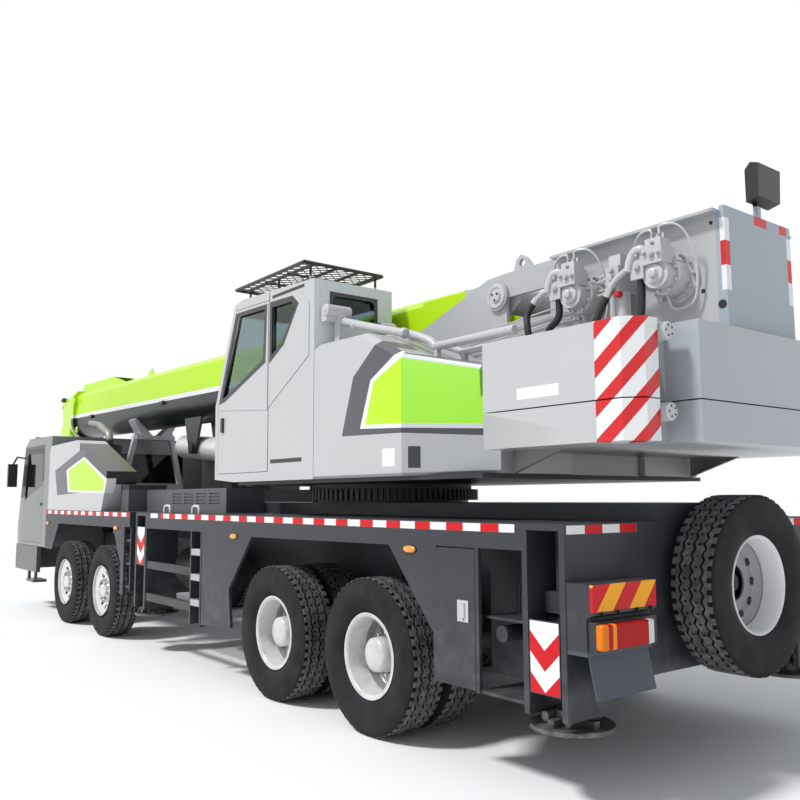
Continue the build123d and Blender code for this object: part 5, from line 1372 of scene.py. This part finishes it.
MARKER_PLACES = (7.866, 5.04, 2.0, -0.54)
markers = [oval(MARKER_ROWS, x, 2.2) for x in MARKER_PLACES]
bezels = [oval(BEZEL_ROWS, x, 2.15) for x in MARKER_PLACES]
kit("side_markers", "carrier", amber.done(), both_sides(markers))
kit("marker_bezels", "carrier", black_finish, both_sides(bezels))
eyes = []
for x in (3.62, 2.91):
    bar = [(x - 0.075, 1.494), (x - 0.075, 1.54), (x - 0.055, 1.57), (x, 1.575), (x + 0.055, 1.57),
           (x + 0.075, 1.54), (x + 0.075, 1.494)]
    eyes.append(tube(flowing([(ahead(a), SIDE - 0.04, z) for a, z in bar], 8), 0.014, 14))
kit("lifting_eyes", "carrier", grey_finish, both_sides(eyes))

tread = Shade("checker_plate", (0.52, 0.53, 0.54), 0.35, metal=0.7)
diamonds = tread.calc(
    "MULTIPLY",
    tread.calc("SINE", tread.calc("MULTIPLY", tread.calc("ADD", tread.x, tread.y), 260.0)),
    tread.calc("SINE", tread.calc("MULTIPLY", tread.calc("SUBTRACT", tread.x, tread.y), 260.0)),
)
tread.bump(diamonds, 0.7, 0.003)
treads = []
for z in (0.62, 0.86, 1.10):
    ends = (ahead(2.702), ahead(2.900), SIDE - 0.121, SIDE + 0.003, z + 0.0005, z + 0.063)
    treads.append(brick(*ends))
kit("ladder_treads", "carrier", tread.done(), both_sides(treads), 0.003)

lens = Shade("tail_lens", (0.45, 0.004, 0.006), 0.35, Specular_IOR_Level=0.15)
half = lens.aside()
lens.lay(lens.over(half, 1.335), (0.80, 0.20, 0.01))
lens.lay(lens.within(half, 1.27, 1.30), (0.90, 0.30, 0.02))
lens.lay(lens.over(1.0, half), (0.70, 0.70, 0.72))
flutes = lens.calc("SINE", lens.calc("MULTIPLY", lens.y, 700.0))
lens.bump(flutes, 0.25, 0.002)
LAMP_X = -2.062
lamp = brick(ahead(LAMP_X - 0.05), ahead(LAMP_X - 0.0005), 0.945, 1.383, 0.862, 0.992)
kit("tail_lamps", "carrier", lens.done(), both_sides([lamp]), 0.012)
screws = []
for y in (0.90, 1.02, 1.18, 1.31):
    screws.append(rod((ahead(LAMP_X + 0.012), y, 1.043), (ahead(LAMP_X - 0.006), y, 1.043), 0.009, 10))
kit("lamp_screws", "carrier", dark_finish, both_sides(screws))
print("tail lamps at x =", round(ahead(LAMP_X), 3))

latch_x, latch_z = ahead(-1.057), 0.962
for side, sign in (("left", 1), ("right", -1)):
    low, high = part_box(f"tool_door_{side}")
    face = high.y if sign > 0 else low.y
    plate = brick(latch_x - 0.05, latch_x + 0.05, 0.0, 0.006, latch_z - 0.065, latch_z + 0.065)
    grip = brick(latch_x - 0.018, latch_x + 0.018, 0.006, 0.014, latch_z - 0.04, latch_z + 0.045)
    knob = rod((latch_x, 0.006, latch_z - 0.05), (latch_x, 0.016, latch_z - 0.05), 0.01, 16)
    parts = [(np.array(points) * (1, sign, 1) + (0, face, 0), faces) for points, faces in (plate, grip, knob)]
    kit(f"tool_latch_{side}", f"tool_door_{side}", bright_finish, parts, 0.002)

# %% [markdown]
# ## Boom head
# Two round rollers stand out of each cheek of the head, and a small work lamp hangs beside
# the innermost section's tip.

# %% Boom head rollers and lamp
lime_finish = paint("lime_fitting", LIME, rough=0.28, coat=0.4, dust=0.0).done()
roller = [(0.0, 0.045), (0.006, 0.052), (0.022, 0.052), (0.028, 0.045), (0.028, 0.018), (0.036, 0.016)]
cheek_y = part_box("boom_base")[1].y - 0.004
rollers = [turned(roller, (ahead(x), cheek_y, z), (0, 1, 0), 32) for x, z in ((10.33, 3.377), (10.12, 2.86))]
kit("head_rollers", "boom_base", lime_finish, both_sides(rollers))
tip_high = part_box("boom_section_4")[1]
lamp_from = Vector((tip_high.x - 0.26, tip_high.y + 0.03, tip_high.z - 0.03))
lamp_shape = [(0.0, 0.022), (0.02, 0.036), (0.085, 0.040), (0.09, 0.034)]
work_lamp = [
    turned(lamp_shape, lamp_from, (1, 0, -0.25), 28),
    rod(lamp_from + Vector((0.04, -0.035, 0)), lamp_from + Vector((0.04, 0.0, 0)), 0.012, 12),
]
kit("work_lamp", "boom_section_4", black_finish, work_lamp)

# %% [markdown]
# ## Floor, background and light
# A pale floor takes the crane's shadow and fades to white further out. The world is soft,
# faintly blue light for the crane and plain white for the camera, for reflections and
# through glass, told apart by the Light Path node. One wide, soft sun lamp stands in for a
# bright hazy sun.

# %% Stage and light
floor_mesh = bpy.data.meshes.new("floor")
floor_mesh.from_pydata([(-60, -60, 0), (60, -60, 0), (60, 60, 0), (-60, 60, 0)], [], [(0, 1, 2, 3)])
floor = bpy.data.objects.new("floor", floor_mesh)
bpy.context.scene.collection.objects.link(floor)
ground = Shade("pale_floor", (0.94, 0.94, 0.94), 0.9)
light_path = ground.tree.nodes.new("ShaderNodeLightPath")
glow = ground.tree.nodes.new("ShaderNodeEmission")
blend = ground.tree.nodes.new("ShaderNodeMixShader")
away = ground.distance(ground.x, ground.y)
SEEN_BY = ("Is Camera Ray", "Is Glossy Ray", "Is Transmission Ray")
seen = ground.either(*(light_path.outputs[kind] for kind in SEEN_BY))
fade = ground.both(ground.spread(away, 8.5, 16.0), seen)
ground.done()
ground.tree.links.new(fade, blend.inputs[0])
ground.tree.links.new(ground.shader.outputs[0], blend.inputs[1])
ground.tree.links.new(glow.outputs[0], blend.inputs[2])
out = ground.tree.nodes["Material Output"]
ground.tree.links.new(blend.outputs[0], out.inputs["Surface"])
floor_mesh.materials.append(ground.material)
floor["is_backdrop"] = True

world = bpy.data.worlds.new("studio")
bpy.context.scene.world = world
world.use_nodes = True
tree = world.node_tree
soft = tree.nodes["Background"]
soft.inputs["Color"].default_value = (0.90, 0.95, 1.0, 1)
soft.inputs["Strength"].default_value = 0.54
backdrop = tree.nodes.new("ShaderNodeBackground")
backdrop.inputs["Color"].default_value = (1, 1, 1, 1)
backdrop.inputs["Strength"].default_value = 1.0
path = tree.nodes.new("ShaderNodeLightPath")
first = tree.nodes.new("ShaderNodeMath")
second = tree.nodes.new("ShaderNodeMath")
first.operation = second.operation = "MAXIMUM"
choose = tree.nodes.new("ShaderNodeMixShader")
tree.links.new(path.outputs["Is Camera Ray"], first.inputs[0])
tree.links.new(path.outputs["Is Glossy Ray"], first.inputs[1])
tree.links.new(first.outputs[0], second.inputs[0])
tree.links.new(path.outputs["Is Transmission Ray"], second.inputs[1])
tree.links.new(second.outputs[0], choose.inputs[0])
tree.links.new(soft.outputs[0], choose.inputs[1])
tree.links.new(backdrop.outputs[0], choose.inputs[2])
tree.links.new(choose.outputs[0], tree.nodes["World Output"].inputs["Surface"])

sun = bpy.data.lights.new("sun", "SUN")
sun.energy, sun.angle = 2.6, radians(9)
sun_lamp = bpy.data.objects.new("sun", sun)
sun_from = Vector((0.25, 0.75, 1.0))
sun_lamp.rotation_mode = "QUATERNION"
sun_lamp.rotation_quaternion = sun_from.to_track_quat("Z", "Y")
bpy.context.scene.collection.objects.link(sun_lamp)
print("floor, world and sun ready")

# %% Sizes and the finish
low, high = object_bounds()
